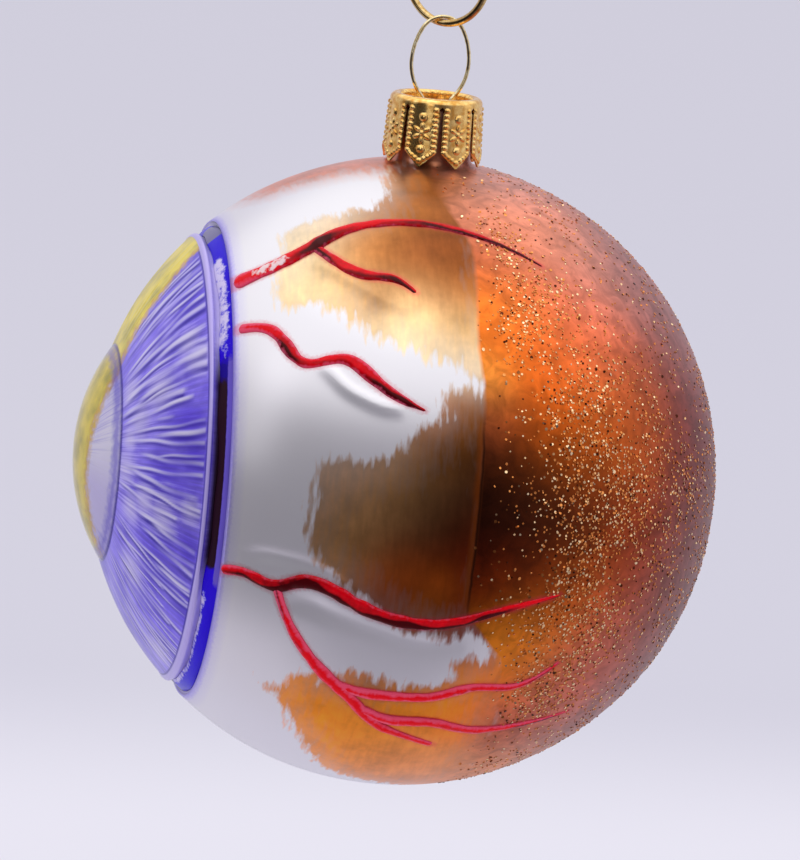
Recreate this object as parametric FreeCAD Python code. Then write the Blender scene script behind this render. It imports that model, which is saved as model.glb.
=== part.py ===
import FreeCAD, Part
import math
import os

# Hanging glass ornament in the shape of an anatomical eye: a blown ball with a moulded iris
# and cornea, raised enamel lines, a crown cap, a spring-wire hanger clip and a jump ring.
# Lengths are in millimetres and angles in degrees. +Z points up the cap, the eye looks
# along -X, and the origin is the place inside the top of the jump ring where a hook bears.

# ---- Blown glass ball --------------------------------------------------------------------
BALL_RADIUS = 40.0
GLASS_WALL = 0.6
NECK_RADIUS = 4.9
NECK_WALL = 0.8
NECK_ROOT_FILLET = 0.8

# ---- Front of the eye, as angles from its axis and heights over the ball -------------------
IRIS_PROUD = 0.1              # the iris stands this far outside the ball
GROOVE_ANGLE = 46.9           # middle of the groove between the iris and the white
GROOVE_WIDTH = 2.6
GROOVE_DEPTH = 1.25
CORNEA_BASE_RADIUS = 13.8
CORNEA_RISE = 4.35            # from the plane of the cornea's edge to its tip
CORNEA_GLAZE = 0.5            # clear glaze over the painted dome
GLAZE_EDGE = 0.08             # thickness of the glaze at its edge

# ---- Raised enamel ---------------------------------------------------------------------------
ENAMEL_GAP = 0.02             # keeps each enamel solid off the glass below it
BAND_WIDTH = 2.2              # blue band in the groove
BAND_DROP = 0.4               # crown of the band below the ball's surface
VEIN_CROWN = 0.4              # height of a vein as a share of its half width
VEIN_STEP = 1.2               # spacing of the sections along a vein
END_SHARES = (0.05, 0.3, 0.6) # sections in a vein's round end, as shares of its half width

# ---- Crown cap -------------------------------------------------------------------------------
CAP_SHEET = 0.25
CAP_HEIGHT = 8.5              # from the petals' points to the rim
CAP_FLARE = 0.35              # how much further out the petals stand at their feet
CAP_OUTER_ROUND = 0.8
CAP_RIM_FLAT = 0.1
CAP_INNER_ROUND = 0.45
CAP_RECESS = 0.95
CAP_SIDE_CLEARANCE = 0.7      # neck to the inside of the cap
CAP_SEAT_CLEARANCE = 0.1      # mouth of the neck to the cap's floor
CAP_POINT_CLEARANCE = 0.3     # petals' points to the ball
PETALS = 8
PETAL_TURN = -91.7            # direction of the first slot between petals, about Z from +X
PETAL_POINT = 1.8             # height of the pointed end of a petal
PETAL_POINT_FLAT = 0.25
SLOT_WIDTH = 0.3
SLOT_FOOT_WIDTH = 0.6
SLOT_TOP = 1.35               # rim to the punched hole at the top of a slot
SLOT_HOLE_RADIUS = 0.35

# ---- Hanger clip -----------------------------------------------------------------------------
CLIP_WIRE = 0.5
LOOP_WIDTH = 7.8
LOOP_HEIGHT = 10.1            # from the cap's rim to the outside of the loop's top
LOOP_WAIST = 4.1              # height of the loop's widest place over the cap's rim
LOOP_TOP_RADIUS = 2.9
LOOP_LOWER_RADIUS = 6.7
CLIP_BEND_RADIUS = 0.8
LEG_LENGTH = 18.0
LEG_BORE_CLEARANCE = 0.3      # end of a leg to the neck's bore
CLIP_HOLE_CLEARANCE = 0.15    # wire to the sides of its slot in the cap

# ---- Jump ring -------------------------------------------------------------------------------
RING_OUTER_DIAMETER = 12.6
RING_WIRE = 0.95
RING_TURN = -42.0             # plane of the ring, about Z from the plane of the loop
RING_SPLIT = 0.12             # gap between the ring's cut ends
RING_SPLIT_ANGLE = 55.0       # place of that gap, from the top of the ring
LINK_GAP = 0.05               # loop to ring where the one hangs in the other

# ---- Veins: each point is (angle from the eye's axis, angle about it from the top towards
# the -Y side), and each width list runs evenly from the first point to the last -----------------
VEINS = {
    "upper_vein": (
        [(49.5, 34.0), (56.5, 34.0), (65.0, 31.5), (70.0, 29.3), (80.0, 28.7), (90.5, 30.8),
         (98.0, 33.3), (106.0, 36.5)],
        [2.0, 1.6, 1.5, 1.2, 1.0, 0.9, 0.7, 0.4]),
    "middle_vein": (
        [(50.0, 47.8), (56.5, 50.5), (59.8, 55.8), (62.5, 58.9), (69.5, 58.8), (74.0, 62.1),
         (79.0, 66.2), (83.8, 68.5)],
        [1.0, 1.4, 1.6, 1.4, 1.4, 1.5, 1.2, 0.3]),
    "lower_vein": (
        [(49.0, 105.4), (54.0, 104.0), (60.0, 104.6), (64.5, 102.2), (70.0, 102.6),
         (75.5, 104.8), (82.5, 106.5), (90.0, 106.3), (100.0, 103.5), (111.0, 101.0)],
        [1.2, 1.6, 1.9, 1.7, 1.8, 1.6, 1.2, 1.0, 0.8, 0.4]),
    "far_upper_vein": (
        [(49.5, -38.0), (57.0, -36.0), (66.0, -38.5), (75.0, -35.0), (84.5, -36.5),
         (94.0, -32.5), (105.0, -35.0)],
        [1.9, 1.6, 1.5, 1.2, 1.0, 0.7, 0.4]),
    "far_middle_vein": (
        [(50.0, -66.0), (56.0, -69.5), (62.0, -68.0), (69.0, -73.5), (77.0, -75.5),
         (85.0, -81.0)],
        [1.0, 1.5, 1.4, 1.5, 1.1, 0.3]),
    "far_lower_vein": (
        [(49.0, -103.0), (56.0, -106.0), (63.0, -103.5), (71.5, -107.5), (80.5, -105.0),
         (90.5, -108.5), (101.0, -106.0), (111.0, -109.0)],
        [1.3, 1.6, 1.8, 1.7, 1.4, 1.1, 0.8, 0.4]),
}

# Branches start on the middle of the vein named first, and are built from its side onwards.
BRANCHES = {
    "upper_vein_branch": (
        "upper_vein",
        [(65.0, 31.5), (69.0, 37.4), (74.0, 41.5), (78.5, 42.8), (82.3, 46.0)],
        [1.1, 1.1, 1.2, 0.8, 0.4]),
    "lower_vein_branch": (
        "lower_vein",
        [(60.0, 104.6), (62.0, 109.5), (66.2, 116.1), (71.5, 121.4), (77.0, 126.0),
         (81.5, 130.8), (87.0, 133.6), (93.0, 136.4)],
        [1.1, 1.1, 1.3, 1.6, 1.5, 1.3, 0.9, 0.5]),
    "far_upper_vein_branch": (
        "far_upper_vein",
        [(66.0, -38.5), (70.5, -45.0), (77.0, -48.5), (84.0, -54.0)],
        [1.1, 1.2, 1.0, 0.4]),
    "far_lower_vein_branch": (
        "far_lower_vein",
        [(63.0, -103.5), (67.0, -111.0), (72.0, -118.0), (79.0, -125.0), (87.0, -129.0),
         (96.0, -134.0)],
        [1.1, 1.3, 1.5, 1.4, 1.0, 0.5]),
}

# Twigs start on a branch in the same way.
TWIGS = {
    "lower_vein_upper_twig": (
        "lower_vein_branch",
        [(73.0, 122.8), (78.3, 123.4), (85.3, 122.9), (90.6, 122.3), (97.3, 120.0),
         (105.0, 120.6), (113.5, 116.5)],
        [0.9, 1.0, 1.0, 0.9, 0.8, 0.7, 0.4]),
    "lower_vein_lower_twig": (
        "lower_vein_branch",
        [(78.5, 127.5), (84.0, 129.4), (91.5, 129.2), (98.0, 131.5), (105.0, 132.4),
         (119.0, 133.6)],
        [1.0, 1.2, 1.1, 1.0, 0.8, 0.4]),
    "far_lower_vein_twig": (
        "far_lower_vein_branch",
        [(74.5, -120.5), (81.5, -119.0), (90.0, -121.0), (99.0, -118.0), (108.0, -120.0)],
        [0.9, 1.0, 0.9, 0.7, 0.4]),
}


# ---- Places worked out from the sizes ----------------------------------------------------------
ring_mid_radius = (RING_OUTER_DIAMETER - RING_WIRE) / 2
ring_centre_z = -(ring_mid_radius - RING_WIRE / 2)
ring_low_z = ring_centre_z - ring_mid_radius
loop_top_z = ring_low_z + RING_WIRE / 2 + LINK_GAP + CLIP_WIRE / 2
cap_rim_z = loop_top_z + CLIP_WIRE / 2 - LOOP_HEIGHT

cap_top_radius = NECK_RADIUS + CAP_SIDE_CLEARANCE + CAP_SHEET
cap_foot_radius = cap_top_radius + CAP_FLARE
cap_recess_radius = cap_top_radius - CAP_OUTER_ROUND - CAP_RIM_FLAT - CAP_INNER_ROUND
cap_floor_z = cap_rim_z - CAP_RECESS
cap_point_z = cap_rim_z - CAP_HEIGHT

point_inside = cap_foot_radius - CAP_SHEET
ball_z = cap_point_z - CAP_POINT_CLEARANCE - math.sqrt(BALL_RADIUS ** 2 - point_inside ** 2)
neck_bore = NECK_RADIUS - NECK_WALL
neck_mouth_z = cap_floor_z - CAP_SHEET - CAP_SEAT_CLEARANCE

iris_radius = BALL_RADIUS + IRIS_PROUD
cornea_base_reach = math.sqrt(iris_radius ** 2 - CORNEA_BASE_RADIUS ** 2)
cornea_radius = (CORNEA_BASE_RADIUS ** 2 + CORNEA_RISE ** 2) / (2 * CORNEA_RISE)
cornea_reach = cornea_base_reach + CORNEA_RISE - cornea_radius
groove_radius = (GROOVE_WIDTH ** 2 / 4 + GROOVE_DEPTH ** 2) / (2 * GROOVE_DEPTH)
groove_reach = BALL_RADIUS - GROOVE_DEPTH + groove_radius

ball_centre = FreeCAD.Vector(0, 0, ball_z)
eye_axis = FreeCAD.Vector(1, 0, 0)
up_axis = FreeCAD.Vector(0, 0, 1)


def polar(reach, angle):
    """Point below the eye's axis, at a distance from the ball's centre and an angle off the axis."""
    turn = math.radians(angle)
    return FreeCAD.Vector(-reach * math.cos(turn), 0, ball_z - reach * math.sin(turn))


def angle_on_groove(reach, around):
    """Angle, from the groove's middle, where a circle about its centre meets a ball of that reach."""
    cosine = (reach ** 2 + groove_reach ** 2 - around ** 2) / (2 * reach * groove_reach)
    return math.degrees(math.acos(cosine))


def crease(iris, dome):
    """Distance along the eye's axis and off it where a ball meets a dome of those radii."""
    along = (iris ** 2 - dome ** 2 + cornea_reach ** 2) / (2 * cornea_reach)
    return along, math.sqrt(iris ** 2 - along ** 2)


def dome_arc(radius, along, off):
    """Arc of the cornea's dome from its edge to the tip on the eye's axis."""
    half = math.atan2(off, along - cornea_reach) / 2
    middle = FreeCAD.Vector(-cornea_reach - radius * math.cos(half), 0, ball_z - radius * math.sin(half))
    edge = FreeCAD.Vector(-along, 0, ball_z - off)
    tip = FreeCAD.Vector(-cornea_reach - radius, 0, ball_z)
    return Part.Arc(edge, middle, tip).toShape()


def turned_about_eye(edges):
    """Solid made by turning a closed outline about the eye's axis."""
    face = Part.Face(Part.Wire(edges))
    return face.revolve(ball_centre, eye_axis, 360)


def eyeball(inset):
    """Ball with its groove, iris and cornea, taken in all round by one distance."""
    white = BALL_RADIUS - inset
    iris = iris_radius - inset
    around = groove_radius + inset
    outer_lip = GROOVE_ANGLE + angle_on_groove(white, around)
    inner_lip = GROOVE_ANGLE - angle_on_groove(iris, around)
    dome_radius = cornea_radius - CORNEA_GLAZE - inset
    along, off = crease(iris, dome_radius)
    crease_angle = math.degrees(math.atan2(off, along))
    back = polar(white, 180)
    white_arc = Part.Arc(back, polar(white, (180 + outer_lip) / 2), polar(white, outer_lip))
    groove_arc = Part.Arc(polar(white, outer_lip), polar(groove_reach - around, GROOVE_ANGLE),
                          polar(iris, inner_lip))
    iris_arc = Part.Arc(polar(iris, inner_lip), polar(iris, (inner_lip + crease_angle) / 2),
                        polar(iris, crease_angle))
    dome = dome_arc(dome_radius, along, off)
    tip = FreeCAD.Vector(-cornea_reach - dome_radius, 0, ball_z)
    axis_line = Part.LineSegment(tip, back)
    return turned_about_eye([white_arc.toShape(), groove_arc.toShape(), iris_arc.toShape(), dome,
                             axis_line.toShape()])


def glass_bulb():
    """Thin glass ball with its moulded eye front and the open neck at the top."""
    neck_foot_z = ball_z + BALL_RADIUS - NECK_RADIUS
    neck = Part.makeCylinder(NECK_RADIUS, neck_mouth_z - neck_foot_z,
                             FreeCAD.Vector(0, 0, neck_foot_z), up_axis)
    outside = eyeball(0).fuse(neck)
    root_z = ball_z + math.sqrt(BALL_RADIUS ** 2 - NECK_RADIUS ** 2)
    root = [edge for edge in outside.Edges
            if abs(edge.CenterOfMass.z - root_z) < GLASS_WALL / 2
            and abs(edge.BoundBox.ZLength) < GLASS_WALL / 2
            and edge.BoundBox.XMax < NECK_RADIUS + GLASS_WALL]
    outside = outside.makeFillet(NECK_ROOT_FILLET, root)
    bore = Part.makeCylinder(neck_bore, neck_mouth_z - neck_foot_z + GLASS_WALL,
                             FreeCAD.Vector(0, 0, neck_foot_z), up_axis)
    return outside.cut(eyeball(GLASS_WALL).fuse(bore))


def cornea_glaze():
    """Clear lens of glaze that fills the crease round the painted dome and covers it."""
    seat = iris_radius + ENAMEL_GAP
    inner_radius = cornea_radius - CORNEA_GLAZE + ENAMEL_GAP
    rim_along, rim_off = crease(iris_radius + GLAZE_EDGE, cornea_radius)
    along, off = crease(seat, inner_radius)
    rim_angle = math.degrees(math.atan2(rim_off, rim_along))
    foot_angle = math.degrees(math.atan2(off, along))
    outer = dome_arc(cornea_radius, rim_along, rim_off)
    inner = dome_arc(inner_radius, along, off)
    edge = Part.LineSegment(polar(iris_radius + GLAZE_EDGE, rim_angle), polar(seat, rim_angle))
    foot = Part.Arc(polar(seat, rim_angle), polar(seat, (rim_angle + foot_angle) / 2),
                    polar(seat, foot_angle))
    outer_tip = FreeCAD.Vector(-cornea_reach - cornea_radius, 0, ball_z)
    inner_tip = FreeCAD.Vector(-cornea_reach - inner_radius, 0, ball_z)
    middle = Part.LineSegment(inner_tip, outer_tip)
    return turned_about_eye([outer, middle.toShape(), inner, foot.toShape(), edge.toShape()])


def limbus_band():
    """Rounded ring of blue enamel that lies in the groove between the iris and the white."""
    seat = groove_radius - ENAMEL_GAP
    half = math.asin(BAND_WIDTH / 2 / seat)
    drop = seat * math.cos(half)
    edge_reach = groove_reach - drop
    edge_turn = math.degrees(math.atan2(BAND_WIDTH / 2, edge_reach))
    far_edge = polar(math.hypot(edge_reach, BAND_WIDTH / 2), GROOVE_ANGLE + edge_turn)
    near_edge = polar(math.hypot(edge_reach, BAND_WIDTH / 2), GROOVE_ANGLE - edge_turn)
    seat_arc = Part.Arc(far_edge, polar(groove_reach - seat, GROOVE_ANGLE), near_edge)
    crown_arc = Part.Arc(near_edge, polar(BALL_RADIUS - BAND_DROP, GROOVE_ANGLE), far_edge)
    return turned_about_eye([seat_arc.toShape(), crown_arc.toShape()])


def on_ball(theta, phi, reach):
    """Point at an angle from the eye's axis and an angle about it, at a distance from the centre."""
    off = math.radians(theta)
    about = math.radians(phi)
    return FreeCAD.Vector(-reach * math.cos(off),
                          -reach * math.sin(off) * math.sin(about),
                          ball_z + reach * math.sin(off) * math.cos(about))


def share_of(values, share):
    """Value read evenly along a list, from 0 at its first item to 1 at its last."""
    place = share * (len(values) - 1)
    low = min(int(place), len(values) - 2)
    return values[low] + (values[low + 1] - values[low]) * (place - low)


def vein_spine(points):
    """Smooth line over the ball through the vein's points."""
    spine = Part.BSplineCurve()
    spine.interpolate([on_ball(theta, phi, BALL_RADIUS) for theta, phi in points])
    return spine


def clear_start(spine, widths, parent):
    """Distance along a branch at which its round end just clears the side of its own vein."""
    parent_spine, parent_widths = parent
    parent_length = parent_spine.length()
    length = spine.length()
    place = 0.0
    while place < length / 2:
        point = spine.value(spine.parameterAtDistance(place))
        parameter = parent_spine.parameter(point)
        beside = parent_spine.value(parameter)
        parent_place = parent_spine.length(parent_spine.FirstParameter, parameter)
        room = share_of(parent_widths, parent_place / parent_length) + share_of(widths, place / length)
        if point.distanceToPoint(beside) >= room / 2 + ENAMEL_GAP:
            break
        place += ENAMEL_GAP
    return max(place - share_of(widths, place / length) / 2, 0)


def vein_section(centre, tangent, half):
    """Outline across a vein: a low round crown over a flat foot that stands clear of the glass."""
    outward = (centre - ball_centre).normalize()
    aside = outward.cross(tangent).normalize() * half
    foot = ball_centre + outward * (BALL_RADIUS + ENAMEL_GAP)
    crown = foot + outward * (VEIN_CROWN * half)
    top = Part.Arc(foot - aside, crown, foot + aside).toShape()
    return Part.Wire([top, Part.LineSegment(foot + aside, foot - aside).toShape()])


def vein(spine, widths, start):
    """Raised enamel stroke along its line, with a low crown and round ends."""
    length = spine.length()
    half_start = share_of(widths, start / length) / 2
    half_end = widths[-1] / 2
    straight = length - start - half_start - half_end
    count = int(math.ceil(straight / VEIN_STEP))
    places = [start + share * half_start for share in END_SHARES]
    places += [start + half_start + straight * number / count for number in range(count + 1)]
    places += [length - share * half_end for share in reversed(END_SHARES)]
    sections = []
    for place in places:
        from_end = min((place - start) / half_start, (length - place) / half_end, 1)
        half = share_of(widths, place / length) / 2 * math.sqrt(1 - (1 - from_end) ** 2)
        parameter = spine.parameterAtDistance(place)
        tangent = FreeCAD.Vector(*spine.tangent(parameter)[0])
        sections.append(vein_section(spine.value(parameter), tangent, half))
    return Part.makeLoft(sections, True, True)


def veins():
    """Every raised vein; each branch starts where it clears the side of its own vein."""
    lines = {}
    shapes = {}
    for name, (points, widths) in VEINS.items():
        lines[name] = (vein_spine(points), widths)
        shapes[name] = vein(*lines[name], 0)
    for name, (parent, points, widths) in list(BRANCHES.items()) + list(TWIGS.items()):
        lines[name] = (vein_spine(points), widths)
        start = clear_start(*lines[name], lines[parent])
        shapes[name] = vein(*lines[name], start)
    return shapes


def turned_about_neck(edges):
    """Solid made by turning a closed outline about the neck's axis."""
    face = Part.Face(Part.Wire(edges))
    return face.revolve(FreeCAD.Vector(0, 0, 0), up_axis, 360)


def quarter(centre_r, centre_z, radius, start, end):
    """Arc in the plane of +X and Z between two angles from +X."""
    corners = []
    for angle in (start, (start + end) / 2, end):
        turn = math.radians(angle)
        corners.append(FreeCAD.Vector(centre_r + radius * math.cos(turn), 0,
                                      centre_z + radius * math.sin(turn)))
    return Part.Arc(*corners).toShape()


def line(start, end):
    """Straight edge between two (distance from the neck's axis, height) points."""
    start_point = FreeCAD.Vector(start[0], 0, start[1])
    end_point = FreeCAD.Vector(end[0], 0, end[1])
    return Part.LineSegment(start_point, end_point).toShape()


def cap_shell():
    """Pressed sheet of the cap before its slots: skirt, rolled rim and sunk floor."""
    outer_c = (cap_top_radius - CAP_OUTER_ROUND, cap_rim_z - CAP_OUTER_ROUND)
    inner_c = (cap_recess_radius + CAP_INNER_ROUND, cap_rim_z - CAP_INNER_ROUND)
    outer_in = CAP_OUTER_ROUND - CAP_SHEET
    inner_in = CAP_INNER_ROUND - CAP_SHEET
    under_z = cap_floor_z - CAP_SHEET
    wall_r = cap_recess_radius + CAP_SHEET
    return turned_about_neck([
        line((cap_foot_radius, cap_point_z), (cap_top_radius, outer_c[1])),
        quarter(*outer_c, CAP_OUTER_ROUND, 0, 90),
        line((outer_c[0], cap_rim_z), (inner_c[0], cap_rim_z)),
        quarter(*inner_c, CAP_INNER_ROUND, 90, 180),
        line((cap_recess_radius, inner_c[1]), (cap_recess_radius, cap_floor_z)),
        line((cap_recess_radius, cap_floor_z), (0, cap_floor_z)),
        line((0, cap_floor_z), (0, under_z)),
        line((0, under_z), (wall_r, under_z)),
        line((wall_r, under_z), (wall_r, inner_c[1])),
        quarter(*inner_c, inner_in, 180, 90),
        line((inner_c[0], cap_rim_z - CAP_SHEET), (outer_c[0], cap_rim_z - CAP_SHEET)),
        quarter(*outer_c, outer_in, 90, 0),
        line((cap_top_radius - CAP_SHEET, outer_c[1]), (point_inside, cap_point_z)),
        line((point_inside, cap_point_z), (cap_foot_radius, cap_point_z)),
    ])


def petal_slot():
    """Cutter for one slot along +X: punched hole, narrow slot, and the notch between two points."""
    start = cap_top_radius - CAP_SHEET - CAP_SIDE_CLEARANCE / 2
    depth = cap_foot_radius - start + CAP_SHEET
    top_z = cap_rim_z - SLOT_TOP
    shoulder_z = cap_point_z + PETAL_POINT
    bottom_z = cap_point_z - CAP_SHEET
    half_pitch = cap_foot_radius * math.sin(math.pi / PETALS) - PETAL_POINT_FLAT / 2
    outline = [(SLOT_WIDTH / 2, top_z), (SLOT_FOOT_WIDTH / 2, shoulder_z), (half_pitch, cap_point_z),
               (half_pitch, bottom_z)]
    outline += [(-side, height) for side, height in reversed(outline)]
    corners = [FreeCAD.Vector(start, side, height) for side, height in outline + outline[:1]]
    slot = Part.Face(Part.makePolygon(corners)).extrude(FreeCAD.Vector(depth, 0, 0))
    hole = Part.makeCylinder(SLOT_HOLE_RADIUS, depth, FreeCAD.Vector(start, 0, top_z), eye_axis)
    return slot.fuse(hole)


def leg_places():
    """Distance of each clip leg from the neck's axis at the cap's floor and at its end."""
    half_width = (LOOP_WIDTH - CLIP_WIRE) / 2
    fall = (LOOP_WAIST + CAP_RECESS) / (LOOP_LOWER_RADIUS + CLIP_BEND_RADIUS)
    run = math.sqrt(1 - fall ** 2)
    bend_centre_r = half_width - LOOP_LOWER_RADIUS + (LOOP_LOWER_RADIUS + CLIP_BEND_RADIUS) * run
    at_floor = bend_centre_r - CLIP_BEND_RADIUS
    at_end = neck_bore - LEG_BORE_CLEARANCE - CLIP_WIRE / 2
    return at_floor, at_end


def crown_cap():
    """Pressed crown cap with its pointed petals and the two slots that the clip goes through."""
    cap = cap_shell()
    slot = petal_slot()
    cutters = []
    for number in range(PETALS):
        cutter = slot.copy()
        cutter.rotate(FreeCAD.Vector(0, 0, 0), up_axis, PETAL_TURN + 360 * number / PETALS)
        cutters.append(cutter)
    at_floor, at_end = leg_places()
    room = CLIP_WIRE / 2 + CLIP_HOLE_CLEARANCE
    inner = min(at_floor, at_end) - room
    outer = max(at_floor, at_end) + room
    for side in (-1, 1):
        corner = FreeCAD.Vector(min(side * inner, side * outer), -room, cap_floor_z - 2 * CAP_SHEET)
        cutters.append(Part.makeBox(outer - inner, 2 * room, 3 * CAP_SHEET, corner))
    return cap.cut(cutters)


def swept_arc(centre, radius, start, end, side):
    """Arc of the clip's wire in the loop's plane, on the +X side (1) or mirrored (-1)."""
    corners = []
    for angle in (start, (start + end) / 2, end):
        turn = math.radians(angle)
        corners.append(FreeCAD.Vector(side * (centre[0] + radius * math.cos(turn)), 0,
                                      centre[1] + radius * math.sin(turn)))
    return Part.Arc(*corners).toShape()


def hanger_clip():
    """Spring wire bent to a tall loop whose ends cross the cap and spread in the neck."""
    half_width = (LOOP_WIDTH - CLIP_WIRE) / 2
    waist_z = cap_rim_z + LOOP_WAIST
    rise = loop_top_z - waist_z
    top_centre = (0, loop_top_z - LOOP_TOP_RADIUS)
    lean = half_width ** 2 + (rise - LOOP_TOP_RADIUS) ** 2 - LOOP_TOP_RADIUS ** 2
    side_radius = lean / (2 * (half_width - LOOP_TOP_RADIUS))
    side_centre = (half_width - side_radius, waist_z)
    meet = math.degrees(math.atan2(top_centre[1] - side_centre[1], -side_centre[0]))

    at_floor, at_end = leg_places()
    splay = math.degrees(math.atan2(at_end - at_floor, LEG_LENGTH))
    sink = LOOP_WAIST + CAP_RECESS - CLIP_BEND_RADIUS * math.sin(math.radians(splay))
    fall = math.degrees(math.asin(sink / (LOOP_LOWER_RADIUS + CLIP_BEND_RADIUS)))
    lower_centre = (half_width - LOOP_LOWER_RADIUS, waist_z)
    reach = LOOP_LOWER_RADIUS + CLIP_BEND_RADIUS
    bend_centre = (lower_centre[0] + reach * math.cos(math.radians(fall)),
                   lower_centre[1] - reach * math.sin(math.radians(fall)))

    edges = []
    for side in (1, -1):
        bend_end = 180 + splay
        leg_top = FreeCAD.Vector(
            side * (bend_centre[0] + CLIP_BEND_RADIUS * math.cos(math.radians(bend_end))), 0,
            bend_centre[1] + CLIP_BEND_RADIUS * math.sin(math.radians(bend_end)))
        leg_end = leg_top + FreeCAD.Vector(side * math.sin(math.radians(splay)), 0,
                                           -math.cos(math.radians(splay))) * LEG_LENGTH
        half = [
            Part.LineSegment(leg_end, leg_top).toShape(),
            swept_arc(bend_centre, CLIP_BEND_RADIUS, bend_end, 180 - fall, side),
            swept_arc(lower_centre, LOOP_LOWER_RADIUS, -fall, 0, side),
            swept_arc(side_centre, side_radius, 0, meet, side),
        ]
        if side == 1:
            edges += half
            edges.append(swept_arc(top_centre, LOOP_TOP_RADIUS, meet, 180 - meet, 1))
            start = leg_end
            along = leg_top - leg_end
        else:
            edges += reversed(half)
    path = Part.Wire(Part.__sortEdges__(edges))
    section = Part.Wire(Part.Circle(start, along, CLIP_WIRE / 2).toShape())
    return path.makePipeShell([section], True, True)


def jump_ring():
    """Round wire ring with butted ends, turned so that the loop hangs across it."""
    start = FreeCAD.Vector(ring_mid_radius, 0, ring_centre_z)
    section = Part.Face(Part.Wire(Part.Circle(start, up_axis, RING_WIRE / 2).toShape()))
    centre = FreeCAD.Vector(0, 0, ring_centre_z)
    across = FreeCAD.Vector(0, 1, 0)
    gap = math.degrees(RING_SPLIT / ring_mid_radius)
    ring = section.revolve(centre, across, 360 - gap)
    ring.rotate(centre, across, RING_SPLIT_ANGLE - 90)
    ring.rotate(FreeCAD.Vector(0, 0, 0), up_axis, RING_TURN)
    return ring


def main():
    """Build every piece and write each to its own file."""
    pieces = {
        "jump_ring": jump_ring(),
        "hanger_clip": hanger_clip(),
        "crown_cap": crown_cap(),
        "glass_bulb": glass_bulb(),
        "cornea_glaze": cornea_glaze(),
        "limbus_band": limbus_band(),
    }
    pieces.update(veins())
    os.makedirs("parts", exist_ok=True)
    for name, shape in pieces.items():
        shape.exportStep("parts/" + name + ".step")
        print(name, "solids", len(shape.Solids), "valid", shape.isValid(), "volume", round(shape.Volume, 3))


main()
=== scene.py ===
import logging
import math
from collections import Counter
from dataclasses import dataclass
from enum import Enum
from functools import cached_property
from typing import Callable, Sequence

import bpy
import numpy as np
from mathutils import Matrix, Vector
from mathutils.geometry import delaunay_2d_cdt


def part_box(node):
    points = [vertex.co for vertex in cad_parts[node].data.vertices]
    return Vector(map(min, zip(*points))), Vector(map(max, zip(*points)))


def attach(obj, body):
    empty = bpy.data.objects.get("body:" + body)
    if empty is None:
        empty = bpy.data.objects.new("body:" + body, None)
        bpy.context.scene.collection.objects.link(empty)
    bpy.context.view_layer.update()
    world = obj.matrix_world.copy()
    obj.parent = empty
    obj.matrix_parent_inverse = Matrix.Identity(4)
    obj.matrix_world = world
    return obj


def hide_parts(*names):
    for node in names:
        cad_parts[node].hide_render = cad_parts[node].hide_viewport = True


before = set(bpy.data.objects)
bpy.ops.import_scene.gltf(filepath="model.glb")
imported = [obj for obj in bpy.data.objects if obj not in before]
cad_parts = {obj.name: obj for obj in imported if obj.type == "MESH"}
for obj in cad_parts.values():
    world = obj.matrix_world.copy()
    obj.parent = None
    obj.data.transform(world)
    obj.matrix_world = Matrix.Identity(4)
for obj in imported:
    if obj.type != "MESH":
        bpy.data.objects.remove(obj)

# Looks of a hanging blown-glass eye: silvered and lacquered ball, painted iris, raised enamel
# lines, pressed gilt cap, spring-wire hanger and jump ring. Lengths here are in millimetres in
# the frame of the CAD model and turn to metres where a mesh is made. A place on the ball is an
# angle from the eye's axis (theta) and an angle about it from the top to the near side (phi).

LOG = logging.getLogger("eye_ornament")
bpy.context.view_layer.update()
MM = 0.001
PER_METRE = 1000.0
Rows = tuple[tuple[float, ...], ...]


def linear(colour: str) -> tuple[float, float, float, float]:
    """Turn an sRGB hex value to the linear colour that a shader socket takes.

    Args:
        colour: Hex value such as "#D98A38".

    Returns:
        Red, green, blue and an alpha of 1.
    """
    parts = [int(colour[place:place + 2], 16) / 255 for place in (1, 3, 5)]
    red, green, blue = [p / 12.92 if p <= 0.04045 else ((p + 0.055) / 1.055) ** 2.4 for p in parts]
    return red, green, blue, 1.0


class Body(Enum):
    """CAD bodies that pieces ride on."""

    RING = "ring"
    HANGER = "hanger"
    CAP = "cap"
    BULB = "bulb"


class Slot(Enum):
    """Material slots of the record."""

    RING_WIRE = "gilt_ring_wire"
    SPRING_WIRE = "gilt_spring_wire"
    CAP_SHEET = "gilt_cap_sheet"
    GLASS = "lacquered_glass"
    GLAZE = "clear_glaze"
    BLUE = "blue_enamel"
    RED = "red_enamel"


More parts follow.
